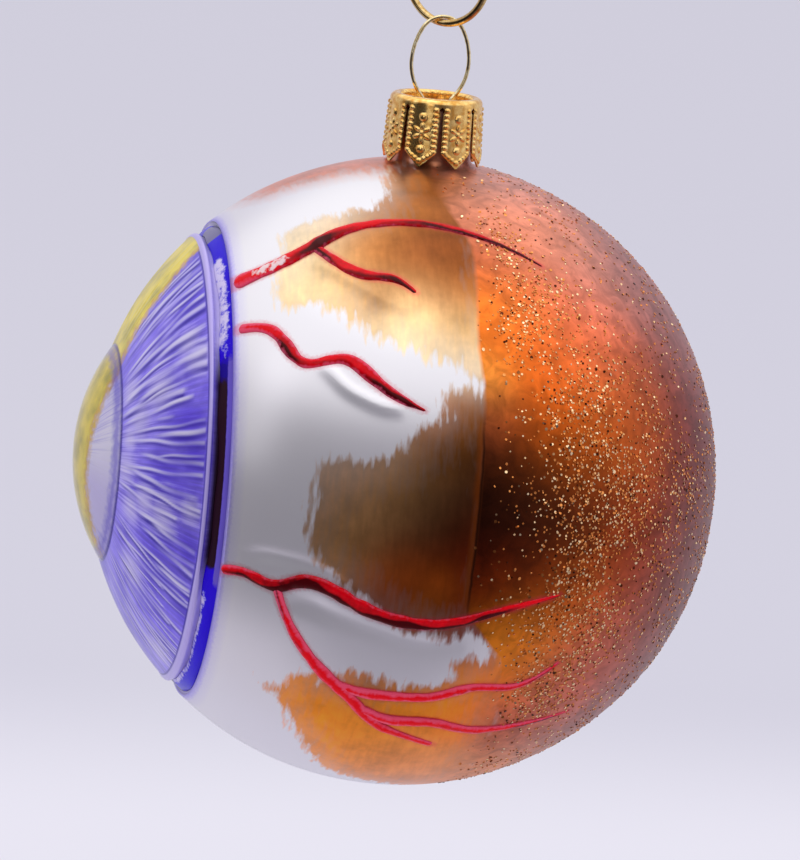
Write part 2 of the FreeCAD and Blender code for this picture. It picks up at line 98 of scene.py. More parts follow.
class Recipe:
    """The node tree of a material or a world, built one node at a time."""

    def __init__(self, name: str, world: bool = False) -> None:
        """Start an empty material or world.

        Args:
            name: Its name.
            world: Whether it is a world.
        """
        self.made = (bpy.data.worlds if world else bpy.data.materials).new(name)
        self.output = "OutputWorld" if world else "OutputMaterial"
        self.made.use_nodes = True
        self.made.node_tree.nodes.clear()

    def add(self, kind: str, *values: object, **details: object) -> bpy.types.Node:
        """Add a node with its settings and links.

        Args:
            kind: Blender's type of the node, without ShaderNode at its start.
            *values: Numbers, colours or nodes for its first inputs, in order.
            **details: Names in lower case are settings, and the others are inputs.

        Returns:
            The new node.
        """
        node = self.made.node_tree.nodes.new("ShaderNode" + kind)
        inputs = list(enumerate(values))
        for name, value in details.items():
            if name[0].islower():
                setattr(node, name, value)
            else:
                inputs.append((name.replace("_", " "), value))
        for key, value in inputs:
            socket = node.inputs[key] if isinstance(key, int) else next(
                s for s in node.inputs if s.name == key and s.enabled)
            if isinstance(value, bpy.types.Node):
                value = next(s for s in value.outputs if s.enabled)
            if isinstance(value, bpy.types.NodeSocket):
                self.made.node_tree.links.new(value, socket)
            else:
                socket.default_value = value
        return node

    def finish(self, shader: bpy.types.Node) -> bpy.types.Material | bpy.types.World:
        """Link the shader to the output, and return the material or world."""
        self.add(self.output, shader)
        return self.made


# ---- Sizes and places on the ball --------------------------------------------------------------

@dataclass(frozen=True)
class EyeBall:
    """Sizes of the glass ball, its neck and its moulded front, in millimetres and degrees."""

    radius: float = 40.0
    wall: float = 0.6
    iris_proud: float = 0.1
    groove_angle: float = 46.9
    groove_width: float = 2.6
    groove_depth: float = 1.25
    lip_angle: float = 48.75
    ridge_angle: float = 44.35
    cornea_base_radius: float = 13.8
    cornea_rise: float = 4.35
    glaze: float = 0.5
    band_width: float = 2.2
    band_drop: float = 0.4
    neck_radius: float = 4.9
    neck_bore: float = 4.1

    @cached_property
    def centre(self) -> np.ndarray:
        """Middle of the ball, taken from the CAD ball's lowest corner."""
        return np.array([0.0, 0.0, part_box("glass_bulb")[0].z / MM + self.radius])

    @property
    def iris_radius(self) -> float:
        """Distance of the iris's surface from the middle of the ball."""
        return self.radius + self.iris_proud

    @property
    def groove(self) -> tuple[float, float]:
        """Radius of the groove's round floor, and the distance from its middle to the ball's."""
        radius = (self.groove_width ** 2 / 4 + self.groove_depth ** 2) / (2 * self.groove_depth)
        return radius, self.radius - self.groove_depth + radius

    @property
    def crease(self) -> float:
        """Angle from the eye's axis where the painted dome meets the iris."""
        return self.crease_angle(self.glaze)

    def dome_base(self, sunk: float) -> float:
        """Base radius of a dome whose top lies a depth below the clear dome's."""
        return self.cornea_base_radius - 0.5 * sunk

    def crease_angle(self, sunk: float) -> float:
        """Angle from the eye's axis where such a dome meets the iris, in degrees."""
        return math.degrees(math.asin(self.dome_base(sunk) / self.iris_radius))

    def dome_reach(self, theta: np.ndarray, sunk: float) -> np.ndarray:
        """Distance from the middle of the ball to a dome.

        Args:
            theta: Angles from the eye's axis.
            sunk: Depth of the dome's top below the clear dome's.

        Returns:
            Distances, one for each angle.
        """
        base, rise = self.dome_base(sunk), self.cornea_rise - sunk
        radius = (base ** 2 + rise ** 2) / (2 * rise)
        centre = math.sqrt(self.iris_radius ** 2 - base ** 2) + rise - radius
        turn = np.radians(theta)
        return centre * np.cos(turn) + np.sqrt(radius ** 2 - (centre * np.sin(turn)) ** 2)

    def arc_length(self, angle: np.ndarray) -> np.ndarray:
        """Length over the ball of an angle in degrees."""
        return angle * math.radians(1) * self.radius

    def point(self, theta: np.ndarray, phi: np.ndarray, reach: np.ndarray) -> np.ndarray:
        """Points at angles on the ball and distances from its middle."""
        return self.centre + direction(theta, phi) * reach[..., None]


BALL = EyeBall()


def direction(theta: np.ndarray | float, phi: np.ndarray | float) -> np.ndarray:
    """Unit vectors at angles on the ball.

    Args:
        theta: Angles from the eye's axis.
        phi: Angles about it from the top to the near side.

    Returns:
        An array of unit vectors.
    """
    off, about = np.radians(theta), np.radians(phi)
    return np.stack(np.broadcast_arrays(-np.cos(off), -np.sin(off) * np.sin(about),
                                        np.sin(off) * np.cos(about)), axis=-1)


def angles(ways: np.ndarray) -> tuple[np.ndarray, np.ndarray]:
    """Theta and phi, in degrees, of unit vectors from the middle of the ball."""
    theta = np.degrees(np.arccos(np.clip(-ways[..., 0], -1, 1)))
    return theta, np.degrees(np.arctan2(-ways[..., 1], ways[..., 2]))


def unit(vectors: np.ndarray) -> np.ndarray:
    """Vectors that point the same ways and have a length of 1."""
    return vectors / np.linalg.norm(vectors, axis=-1, keepdims=True)


def even_turn(count: int) -> np.ndarray:
    """Angles in degrees that divide a full turn evenly."""
    return np.arange(count) * 360 / count


def circle(count: int) -> np.ndarray:
    """Evenly spaced points on a circle with a radius of 1."""
    turn = np.radians(even_turn(count))
    return np.stack([np.cos(turn), np.sin(turn)], axis=1)


def arc(x: float, z: float, radius: float, start: float, end: float, count: int) -> np.ndarray:
    """Points along an arc in an upright plane.

    Args:
        x: Its middle's place across.
        z: Its middle's height.
        radius: Its radius.
        start: Angle where it starts, in degrees.
        end: Angle where it ends.
        count: Number of points.

    Returns:
        A place across and a height for each point.
    """
    turn = np.radians(np.linspace(start, end, count))
    return np.column_stack([x + radius * np.cos(turn), z + radius * np.sin(turn)])


def smoothstep(low: float, high: float, value: np.ndarray) -> np.ndarray:
    """Soft step from 0 where a value is low to 1 where it is high."""
    share = np.clip((value - low) / (high - low), 0, 1)
    return share * share * (3 - 2 * share)


def run_along(line: np.ndarray) -> np.ndarray:
    """Distance along a line of points, at each of them."""
    return np.concatenate([[0], np.cumsum(np.linalg.norm(np.diff(line, axis=0), axis=1))])


def smooth_line(line: Rows, count: int) -> np.ndarray:
    """Read a cubic spline through places on the ball at even steps of length.

    Args:
        line: The places as (theta, phi).
        count: Number of points to return.

    Returns:
        Points along the line, measured from the middle of the ball.
    """
    points = direction(*np.array(line, float).T) * BALL.radius
    knots, size = run_along(points), len(points)
    gaps = np.diff(knots)
    matrix, right = np.eye(size), np.zeros_like(points)
    for row in range(1, size - 1):
        before, after = gaps[row - 1:row + 1]
        matrix[row, row - 1:row + 2] = before, 2 * (before + after), after
        right[row] = 6 * ((points[row + 1] - points[row]) / after - (points[row] - points[row - 1]) / before)
    bend = np.linalg.solve(matrix, right)
    fine = np.linspace(0, knots[-1], 40 * size)
    seg = np.clip(np.searchsorted(knots, fine, side="right") - 1, 0, size - 2)
    width, ahead, behind = gaps[seg][:, None], (knots[seg + 1] - fine)[:, None], (fine - knots[seg])[:, None]
    smooth = (bend[seg] * ahead ** 3 + bend[seg + 1] * behind ** 3) / (6 * width)
    smooth += (points[seg] / width - bend[seg] * width / 6) * ahead
    smooth += (points[seg + 1] / width - bend[seg + 1] * width / 6) * behind
    run = run_along(smooth)
    even = np.linspace(0, run[-1], count)
    return np.stack([np.interp(even, run, part) for part in smooth.T], axis=1)


def away_from(ways: np.ndarray, theta: float, phi: float) -> np.ndarray:
    """Distance over the ball, in millimetres, from each unit vector to one spot."""
    return BALL.radius * np.arccos(np.clip(ways @ direction(theta, phi), -1, 1))


def gaps_to(ways: np.ndarray, spine: np.ndarray, margin: float) -> tuple[np.ndarray, np.ndarray]:
    """Distances from the places near a line on the ball to each of its points.

    Args:
        ways: Unit vectors of the places.
        spine: Points along the line, measured from the middle of the ball.
        margin: How far round the line a place is near.

    Returns:
        Numbers of the near places, and a row of distances for each.
    """
    places, middle = ways * BALL.radius, spine.mean(axis=0)
    reach = np.linalg.norm(spine - middle, axis=1).max() + margin
    near = np.nonzero(np.linalg.norm(places - middle, axis=1) < reach)[0]
    return near, np.linalg.norm(places[near, None] - spine, axis=2)


# ---- Meshes ----------------------------------------------------------------------------------

class MeshStock:
    """Vertices and faces gathered for one piece."""

    def __init__(self) -> None:
        """Start with nothing."""
        self.parts: list[np.ndarray] = []
        self.faces: list[tuple[int, ...]] = []
        self.count = 0

    def points(self, points: np.ndarray) -> np.ndarray:
        """Add vertices.

        Args:
            points: Their places in millimetres.

        Returns:
            Their numbers, in the shape of the array that came in.
        """
        flat = points.reshape(-1, 3)
        self.parts.append(flat)
        self.count += len(flat)
        return np.arange(self.count - len(flat), self.count).reshape(points.shape[:-1])

    def quads(self, *corners: np.ndarray) -> None:
        """Add four-sided faces from four arrays of corners."""
        self.faces.extend(map(tuple, np.stack(corners, axis=-1).reshape(-1, 4).tolist()))

    def grid(self, ids: np.ndarray) -> None:
        """Add the faces of a grid of rows and columns, whose last column joins its first."""
        after = np.roll(ids, -1, axis=1)
        self.quads(ids[:-1], ids[1:], after[1:], after[:-1])

    def fan(self, ring: np.ndarray, middle: np.ndarray, flip: bool = False) -> None:
        """Close a ring of vertices with triangles to a new one in its middle.

        Args:
            ring: Vertex numbers of the ring.
            middle: Place of the new vertex.
            flip: Whether the triangles face the other way.
        """
        tip = int(self.points(middle.reshape(1, 3))[0])
        for here, after in zip(ring.tolist(), np.roll(ring, -1).tolist()):
            self.faces.append((here, tip, after) if flip else (here, after, tip))

    def zip_rings(self, one: np.ndarray, two: np.ndarray, flip: bool = False) -> None:
        """Join two closed rings of evenly spaced vertices that differ in number.

        Args:
            one: Vertex numbers of the first ring, in order of angle.
            two: Vertex numbers of the second ring, in order of angle.
            flip: Whether the triangles face the other way.
        """
        a, b, size_a, size_b = 0, 0, len(one), len(two)
        first, second = one.tolist() + [int(one[0])], two.tolist() + [int(two[0])]
        while a < size_a or b < size_b:
            if b == size_b or (a < size_a and (a + 1) * size_b <= (b + 1) * size_a):
                face = (first[a], first[a + 1], second[b])
                a += 1
            else:
                face = (first[a], second[b + 1], second[b])
                b += 1
            self.faces.append(face[::-1] if flip else face)

    def array(self) -> np.ndarray:
        """All the vertices as one array."""
        return np.concatenate(self.parts)

    def ways(self) -> np.ndarray:
        """Unit vectors from the middle of the ball to all the vertices."""
        return unit(self.array() - BALL.centre)

    def drop_loose(self) -> None:
        """Leave out the vertices that no face uses."""
        used = sorted({corner for face in self.faces for corner in face})
        renamed = {old: new for new, old in enumerate(used)}
        self.parts, self.count = [self.array()[used]], len(used)
        self.faces = [tuple(renamed[corner] for corner in face) for face in self.faces]


def make_piece(name: str, stock: MeshStock, body: Body, material: bpy.types.Material,
               node: str = "", masks: dict[str, np.ndarray] | None = None,
               sharp_angle: float = 0.0) -> bpy.types.Object:
    """Make an object from gathered vertices and faces, hang it on its body and hide its CAD node.

    Args:
        name: Name of the piece.
        stock: Its vertices in millimetres and its faces.
        body: CAD body that it rides on.
        material: Its material.
        node: CAD node that it stands for.
        masks: Values or colours at its vertices, by name.
        sharp_angle: Edges sharper than this many degrees stay sharp, and 0 smooths them all.

    Returns:
        The object.
    """
    mesh = bpy.data.meshes.new(name)
    mesh.from_pydata((stock.array() * MM).tolist(), [], stock.faces)
    for label, values in (masks or {}).items():
        kind, field = ("FLOAT_COLOR", "color") if values.ndim == 2 else ("FLOAT", "value")
        mesh.attributes.new(label, kind, "POINT").data.foreach_set(field, values.astype(np.float32).ravel())
    mesh.polygons.foreach_set("use_smooth", np.ones(len(mesh.polygons), bool))
    mesh.validate()
    if sharp_angle:
        mesh.set_sharp_from_angle(angle=math.radians(sharp_angle))
    mesh.materials.append(material)
    piece = bpy.data.objects.new(name, mesh)
    bpy.context.scene.collection.objects.link(piece)
    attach(piece, body.value)
    if node:
        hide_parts(node)
    LOG.info("%s: %d vertices, %d triangles", name, stock.count, sum(len(face) - 2 for face in stock.faces))
    return piece


def tube(path: np.ndarray, radius: float, sides: int, round_ends: bool = True) -> MeshStock:
    """Make a round tube along a path, with a steady frame and closed ends.

    Args:
        path: Points along its middle.
        radius: Its radius.
        sides: Number of points round it.
        round_ends: Whether its ends are domes, and not flat cuts.

    Returns:
        Its vertices and faces.
    """
    radii = np.full(len(path), radius)
    if round_ends:
        steps = np.radians([[80], [60], [40], [20]])
        head = path[0] + unit(path[0] - path[1]) * radius * np.sin(steps)
        tail = path[-1] + unit(path[-1] - path[-2]) * radius * np.sin(steps[::-1])
        path = np.concatenate([head, path, tail])
        narrow = radius * np.cos(steps[:, 0])
        radii = np.concatenate([narrow, radii, narrow[::-1]])
    ahead = np.roll(path, -1, axis=0) - np.roll(path, 1, axis=0)
    ahead[0], ahead[-1] = path[1] - path[0], path[-1] - path[-2]
    side = np.cross(ahead[0], [0.31, 0.52, 0.79])
    rows = []
    for middle, way, size in zip(path, unit(ahead), radii):
        side = unit(side - way * side.dot(way))
        rows.append(middle + size * circle(sides) @ np.stack([side, np.cross(way, side)]))
    stock = MeshStock()
    ids = stock.points(np.array(rows))
    stock.grid(ids[:, ::-1])
    stock.fan(ids[0], path[0], flip=True)
    stock.fan(ids[-1], path[-1])
    return stock


# ---- Paint plan: where each lacquer lies on the ball -----------------------------------------

class Lacquer(Enum):
    """Colours of the sprayed lacquers, as they show over the silver."""

    CREAM = "#E6D2B4"
    BUTTER = "#FADEAE"
    APRICOT = "#F4C484"
    HONEY = "#BE7428"
    TAN = "#AA6634"
    CHESTNUT = "#984F20"
    TAUPE = "#DCBCA4"
    OLIVE = "#E4A868"
    BARK = "#AC6620"
    UMBER = "#42180A"
    EMBER = "#8A2402"
    AMBER = "#FF9622"
    PEACH = "#F0924C"
    GOLD = "#F0AA46"
    ROSE = "#CC8E82"
    SALMON = "#EA8C6A"
    CORAL = "#F87A56"
    TANGERINE = "#F27C26"
    FLAME = "#FF6C10"
    TERRACOTTA = "#BE5E38"
    RUST = "#DC6616"
    BRICK = "#DC7258"
    OXBLOOD = "#9C3614"
    MAUVE = "#AE706A"
    DUSK = "#8C5652"
    WINE = "#7E302C"
    DARK_REFLECTION_BROWN = "#220A04"


def depth_inside(ways: np.ndarray, outline: Rows) -> np.ndarray:
    """Distance inside an outline drawn on the ball, in millimetres, and less than 0 outside it.

    Args:
        ways: Unit vectors to read it at.
        outline: Corners as (theta, phi), which are rounded by cutting them off twice.

    Returns:
        Distances, one for each vector.
    """
    points = np.array(outline, float)
    for _ in range(2):
        after = np.roll(points, -1, axis=0)
        points = np.stack([0.75 * points + 0.25 * after, 0.25 * points + 0.75 * after], axis=1).reshape(-1, 2)
    corners = direction(*points.T)
    middle = unit(corners.mean(axis=0))
    east = unit(np.cross([0.0, 0.2, 1.0], middle))
    plane = np.stack([east, np.cross(middle, east)], axis=1)
    near = ways @ middle > math.cos(math.radians(100))
    laid_flat = []
    for vectors in (ways[near], corners):
        away = BALL.radius * np.arccos(np.clip(vectors @ middle, -1, 1))
        flat = vectors @ plane
        laid_flat.append(flat * (away / np.maximum(np.linalg.norm(flat, axis=1), 1e-9))[:, None])
    places, polygon = laid_flat
    best = np.full(len(places), 1e9)
    inside = np.zeros(len(places), bool)
    for start, end in zip(polygon, np.roll(polygon, -1, axis=0)):
        edge = end - start
        share = np.clip(((places - start) @ edge) / max(edge @ edge, 1e-9), 0, 1)
        best = np.minimum(best, np.linalg.norm(places - start - share[:, None] * edge, axis=1))
        crosses = (places[:, 1] > start[1]) != (places[:, 1] > end[1])
        reach = start[0] + (places[:, 1] - start[1]) / (edge[1] if abs(edge[1]) > 1e-9 else 1e-9) * edge[0]
        inside ^= crosses & (places[:, 0] < reach)
    depth = np.full(len(ways), -100.0)
    depth[near] = np.where(inside, best, -best)
    return depth


@dataclass(frozen=True)
class PaintPlan:
    """Outlines of the lacquers, as (theta, phi), and the tones laid into them.

    A spray is a lacquer and its spots, each as (theta, phi, reach in millimetres). A relief is a
    line, its height and its half width.
    """

    amber_patches: tuple[Rows, ...] = (
        ((60, 26), (61, 24), (64, 23), (69, 24), (74, 23), (77, 24), (79, 18), (80, 13), (82, 7), (90, 5),
         (97, 6), (98, 20), (98, 60), (94, 63), (91, 61), (85, 59), (81, 57), (79, 56), (74, 55), (72, 53),
         (69, 49), (67, 48), (64, 46), (61, 47), (57, 44), (58, 37), (59, 30)),
        ((66, 81), (67, 78), (72, 78), (77, 78), (81, 76), (82, 73), (86, 71), (87, 69), (88, 66), (88, 65),
         (92, 64), (100, 64), (100, 107), (94, 108.5), (88, 109), (84, 108), (80, 106.5), (76, 104.5),
         (72, 101), (69, 98.5), (66, 96), (64.5, 92), (65, 85)),
        ((60, 130), (64, 128), (67, 122), (71, 123), (75, 119), (80, 118), (84, 120), (86, 119), (89, 119),
         (94, 118), (93, 114), (96, 113), (99, 115), (100, 110), (97, 109), (93, 107), (91, 106), (104, 103),
         (104, 170), (94, 162), (83, 158), (77, 155), (72, 148), (69, 141), (67, 137), (64, 132)))
    rose_wash: Rows = (
        (54, -3), (58, 5), (63, 6), (69, 9), (75, 9), (80, 12), (84, 10), (98, 14), (104, -20), (106, -55),
        (106, -90), (106, -130), (104, -172), (80, -176), (66, -172), (56, -160), (58, -128), (55, -90),
        (58, -50), (54, -20))
    coat_edge: Rows = (  # as (phi, theta)
        (0, 90.5), (17, 88.5), (26, 90), (35, 93), (44, 93.2), (56, 93), (63, 94), (75, 94.2), (90, 94),
        (104, 94), (113, 101), (128, 101), (164, 98), (200, 95), (250, 93), (300, 94), (340, 92), (360, 90.5))
    # Some spots stand partly for light on the mirror-backed lacquer: the chestnut and umber in the upper
    # patch's middle and the umber in the middle patch are partly painted reflections of the dark room, the
    # browns just under the cap are partly the cap's painted shadow, and the cream spot at (90, 58) is partly
    # a painted highlight.
    patch_sprays: tuple[tuple, ...] = (
        (Lacquer.CREAM, (61, 26, 5), (69, 24, 5), (90, 58, 4), (70, 11, 4), (79, 14, 4)),
        (Lacquer.HONEY, (81, 23, 5), (73, 33, 5), (87, 47, 5), (88, 12, 5)),
        (Lacquer.CHESTNUT, (88, 20, 6), (85, 38, 7), (91, 39, 6), (90, 45.5, 4.5), (75.8, 48, 2),
         (83, 10, 4)),
        (Lacquer.BUTTER, (60, 40, 6), (62, 33, 4), (79, 55, 5), (86, 54, 5)),
        (Lacquer.APRICOT, (67, 46, 6), (81, 50, 5)),
        (Lacquer.TAN, (77, 39, 5), (89, 68, 4)),
        (Lacquer.GOLD, (91, 53, 3.5)),
        (Lacquer.TAUPE, (66, 82, 5), (70, 80, 4)),
        (Lacquer.OLIVE, (69, 86, 5), (74, 88, 5), (73, 95, 5), (79, 83, 6)),
        (Lacquer.UMBER, (91, 73, 4), (85, 88, 7), (89, 84, 7), (85.3, 38, 5)),
        (Lacquer.BARK, (87, 73, 4), (87, 102, 4)),
        (Lacquer.EMBER, (93, 94, 5), (79, 97, 5), (82, 98, 5), (92, 103, 4)),
        (Lacquer.AMBER, (64, 130, 5), (69, 131, 6), (74, 141, 6), (80, 143, 6), (89, 125, 5)),
        (Lacquer.PEACH, (75, 122, 4), (87, 145, 6), (97, 148, 6), (63, 5, 3), (72, -130, 14),
         (80, -165, 12)),
        (Lacquer.RUST, (79, 98, 3), (82, 96, 3), (88, 98, 2)),
        (Lacquer.TANGERINE, (97, 127, 5)),
        (Lacquer.SALMON, (57, 4, 7), (65, 1, 7), (72, 3, 7), (78, 6, 6), (60, -10, 9), (70, -50, 14)),
        (Lacquer.ROSE, (76, -8, 10)),
        (Lacquer.TERRACOTTA, (72, -90, 16)))
    # The darkest brown and the umber where the rear faces the front are partly painted reflections of the
    # dark room, and the mauve and dusk near the back rim are partly painted reflections of the pale backdrop
    # at a grazing angle.
    coat_sprays: tuple[tuple, ...] = (
        (Lacquer.TAN, (89, 18, 6)),
        (Lacquer.ROSE, (98, 15, 7), (118, 31, 8)),
        (Lacquer.SALMON, (99, 25, 6), (107, 27, 8)),
        (Lacquer.MAUVE, (129, 27, 8), (138, 33, 8), (150, 0, 10), (128, 133, 9), (117, 146, 8)),
        (Lacquer.TERRACOTTA, (95, 38, 5), (126, 55, 8), (95, 68, 4), (105, 130, 6)),
        (Lacquer.TANGERINE, (94, 49, 5), (100, 51, 7), (103, 119, 5)),
        (Lacquer.CORAL, (114, 47, 8)),
        (Lacquer.GOLD, (95, 62, 3.5)),
        (Lacquer.FLAME, (103, 60, 7)),
        (Lacquer.RUST, (113, 63, 8), (109, 72, 6), (124, 71, 8), (114, 100, 7), (112, 107, 6)),
        (Lacquer.WINE, (141, 54, 9), (144, 73, 9), (168, 0, 10), (168, 180, 10)),
        (Lacquer.UMBER, (97, 75, 5), (112, 84, 7)),
        (Lacquer.DARK_REFLECTION_BROWN, (98, 80, 8), (99, 92, 10), (107, 85, 10), (105, 95, 6)),
        (Lacquer.DUSK, (150, 180, 10), (148, 94, 9), (143, 112, 9), (136, 124, 9)),
        (Lacquer.OXBLOOD, (126, 86, 8), (128, 103, 8)),
        (Lacquer.EMBER, (98, 98, 5), (106, 98, 5), (98, 101, 3)),
        (Lacquer.BRICK, (124, 116, 8), (118, 120, 7), (113, 127, 7)),
        (Lacquer.AMBER, (101, 109, 5), (106, 112, 6)),
        (Lacquer.PEACH, (106, 152, 8)))
    reliefs: tuple[tuple[Rows, float, float], ...] = (
        (((62, 35), (66, 37), (70, 41), (74, 45), (78, 48), (82, 50)), 0.22, 0.9),
        (((65, 59), (67, 61), (70, 64.3), (73, 66.3), (77, 68), (80, 68.4)), 0.3, 0.75),
        (((53, 100.6), (56, 99), (61, 98.4), (66, 98.8), (70, 100.2), (74, 102.4)), -0.3, 0.9),
        (((62, 107), (65, 106.5), (70, 107.5), (74, 108.5), (80, 110), (85, 111), (90, 111), (94, 110)),
          -0.42, 1.3),
        (((62, -40), (70, -37), (78, -40), (85, -39)), 0.3, 1),
        (((58, -99), (66, -101), (75, -103), (84, -101)), 0.3, 1))

    def tint(self, ways: np.ndarray, sprays: tuple[tuple, ...], sides: tuple[int, ...]) -> np.ndarray:
        """Lacquer colour at places on the ball, blended from the sprays round about.

        Args:
            ways: Unit vectors to read it at.
            sprays: Lacquers and their spots.
            sides: 1 for the near side, and -1 for the same spots on the far side.

        Returns:
            Colours, one for each vector.
        """
        total, weight = np.zeros((len(ways), 3)), np.full((len(ways), 1), 1e-9)
        for lacquer, *spots in sprays:
            for theta, phi, reach in spots:
                for side in sides:
                    away = away_from(ways, theta, side * phi)[:, None]
                    pull = np.exp(-(away / reach) ** 2) + 0.002 / (1 + (away / 20) ** 4)
                    total += pull * linear(lacquer.value)[:3]
                    weight += pull
        return np.concatenate([total / weight, np.ones_like(weight)], axis=1)

    def coat_depth(self, ways: np.ndarray) -> np.ndarray:
        """Distance behind the rear coat's edge, in millimetres, and less than 0 in front of it."""
        theta, phi = angles(ways)
        return BALL.arc_length(theta - np.interp(phi % 360, *np.array(self.coat_edge).T))

    def vein_distance(self, ways: np.ndarray) -> np.ndarray:
        """Distance from the edge of the nearest vein, in millimetres.

        Args:
            ways: Unit vectors to read it at.

        Returns:
            Distances, with 9 for all that is further away.
        """
        best, share = np.full(len(ways), 9.0), np.linspace(0, 1, 120)
        for vein in VEINS.values():
            near, away = gaps_to(ways, smooth_line(vein.line, len(share)), 3.0)
            half = np.interp(share, np.linspace(0, 1, len(vein.widths)), vein.widths) / 2
            best[near] = np.minimum(best[near], (away - half).min(axis=1))
        return best

    def reach(self, ways: np.ndarray) -> np.ndarray:
        """Distance from the middle of the ball to the white, with the mould's ridges and waves.

        Args:
            ways: Unit vectors to read it at.

        Returns:
            Distances in millimetres.
        """
        height = 0.05 * np.sin(5 * ways[:, 2] + 3.1 * ways[:, 0] + 1.0)
        height += 0.04 * np.sin(9 * ways[:, 1] - 6 * ways[:, 2] + 0.4) * np.cos(7 * ways[:, 0])
        share = np.linspace(0, 1, 48)
        taper = np.sqrt(np.clip(np.minimum(share, 1 - share) * 6, 0, 1))
        for line, top, half in self.reliefs:
            near, away = gaps_to(ways, smooth_line(line, len(share)), 8.0)
            height[near] += top * taper[away.argmin(axis=1)] * np.exp(-(away.min(axis=1) / half) ** 2)
        return BALL.radius + height


PAINT = PaintPlan()


# ---- Finishes ----------------------------------------------------------------------------------

@dataclass(frozen=True)
class LacqueredGlass:
    """Blown glass silvered inside and sprayed with pearl, amber and copper lacquers.

    The silver behind gives the clear lacquers coloured, metallic reflections. The pearl is milky
    and satin, and the rear coat is matter than the patches.
    """

    pearl: str = "#EFECF2"
    halo: str = "#A090F8"
    wash: str = "#D8284C"
    speck: str = "#3A1D10"
    seam: str = "#8C4210"
    seam_line: str = "#2A0E06"
    roughness: float = 0.3
    coat_roughness: float = 0.42
    bristle: float = 0.65  # mm, width of the bristle marks at a patch's edge
    cloud: float = 6.0  # mm, size of the denser and thinner places of a sprayed coat
    swirl: float = 2.6  # mm, size of the swirls in the rear coat
    speck_pitch: float = 1.3  # mm between the dark specks of the rear coat
    grain: float = 0.35  # mm, the spray's orange peel, drawn coarser than the real 0.1 mm to show

    def material(self) -> bpy.types.Material:
        """Build the material.

        Returns:
            The material.
        """
        mix = Recipe("lacquered_glass")
        place = mix.add("TexCoord").outputs["Object"]
        round_eye = mix.add("Mapping", place, Scale=(1.0, 0.2, 0.2))
        hairs = mix.add("TexNoise", Vector=round_eye, Scale=PER_METRE / self.bristle, Detail=4.0)
        clouds = mix.add("TexNoise", Vector=place, Scale=PER_METRE / self.cloud, Detail=4.0, Roughness=0.6)
        flow = mix.add("TexNoise", Vector=place, Scale=PER_METRE / self.swirl, Detail=5.0, Distortion=1.4)
        grain = mix.add("TexNoise", Vector=place, Scale=PER_METRE / self.grain, Detail=2.0)
        fray = mix.add("Math", hairs, 8.0, -4.0, operation="MULTIPLY_ADD")
        drift = mix.add("Math", clouds, 5.0, -2.5, operation="MULTIPLY_ADD")
        broken = mix.add("Math", grain, 0.6, -0.3, operation="MULTIPLY_ADD")
        ragged = mix.add("Math", fray, drift, operation="ADD")
        depths = {name: mix.add("Attribute", attribute_name=name).outputs["Fac"]
                  for name in ("patch", "rose", "coat", "seam", "halo", "wash")}
        tints = []
        for name, looks in (("tint", ((clouds, 0.3, 0.7, 0.76, 1.24), (hairs, 0.3, 0.7, 0.9, 1.09))),
                            ("coat_tint", ((clouds, 0.3, 0.7, 0.84, 1.16), (flow, 0.35, 0.65, 0.8, 1.22)))):
            tint = mix.add("Attribute", attribute_name=name).outputs["Color"]
            for look in looks:
                tint = mix.add("VectorMath", tint, mix.add("MapRange", *look), operation="MULTIPLY")
            tints.append(tint)

        frayed = mix.add("Math", drift, 0.12, depths["coat"], operation="MULTIPLY_ADD")
        coat = metal = mix.add("MapRange", frayed, -0.3, 0.3)
        off = mix.add("Math", frayed, operation="ABSOLUTE")
        seams = [mix.add("Math", mix.add("MapRange", *edge), depths["seam"], operation="MULTIPLY")
                 for edge in ((frayed, -1.1, -0.5, 0.0, 0.8), (off, 0.05, 0.26, 0.8, 0.0))]
        dots = mix.add("TexVoronoi", Vector=place, Scale=PER_METRE / self.speck_pitch)
        chance = mix.add("SeparateColor", dots.outputs["Color"])
        chance = mix.add("Math", chance, 0.55, operation="GREATER_THAN")
        dotted = mix.add("MapRange", dots, 0.07, 0.12, 1.0, 0.0)
        for share in (chance, coat):
            dotted = mix.add("Math", dotted, share, operation="MULTIPLY")

        layers: list[tuple[object, object]] = []
        for name, feather, spread, sheer in (("patch", 1.4, 0.7, 0.88), ("rose", 4.0, 0.25, 0.45)):
            frayed = mix.add("Math", ragged, spread, depths[name], operation="MULTIPLY_ADD")
            cover = mix.add("MapRange", frayed, -feather / 2, feather / 2)
            thickness = mix.add("Math", fray, depths[name], operation="ADD")
            film = mix.add("MapRange", thickness, 0.5, 5.0, sheer, 1.0)
            cover = mix.add("Math", cover, film, operation="MULTIPLY")
            metal = mix.add("Math", metal, cover, operation="MAXIMUM")
            layers.append((cover, tints[0]))
        layers += [(seams[0], linear(self.seam)), (coat, tints[1]), (seams[1], linear(self.seam_line)),
                   (dotted, linear(self.speck))]
        for name, shade, near, far, most in (
                ("halo", self.halo, 0.8, 2.4, 0.22), ("halo", self.halo, 0.1, 1.0, 0.85),
                ("wash", self.wash, 0.0, 0.5, 0.4)):
            depth = mix.add("Math", broken, depths[name], operation="ADD")
            layers.append((mix.add("MapRange", depth, near, far, most, 0.0), linear(shade)))
        colour: object = linear(self.pearl)
        for cover, shade in layers:
            colour = mix.add("Mix", data_type="RGBA", Factor=cover, A=colour, B=shade)
        rough = mix.add("MapRange", coat, 0.0, 1.0, self.roughness, self.coat_roughness)
        metal = mix.add("MapRange", metal, 0.0, 1.0, 0.62, 0.84)
        bump = mix.add("Bump", Strength=0.12, Distance=0.02 * MM, Height=grain)
        return mix.finish(mix.add(
            "BsdfPrincipled", Base_Color=colour, Metallic=metal, Roughness=rough, Coat_Weight=0.06,
            Coat_Roughness=0.16, Specular_IOR_Level=0.1, Normal=bump))


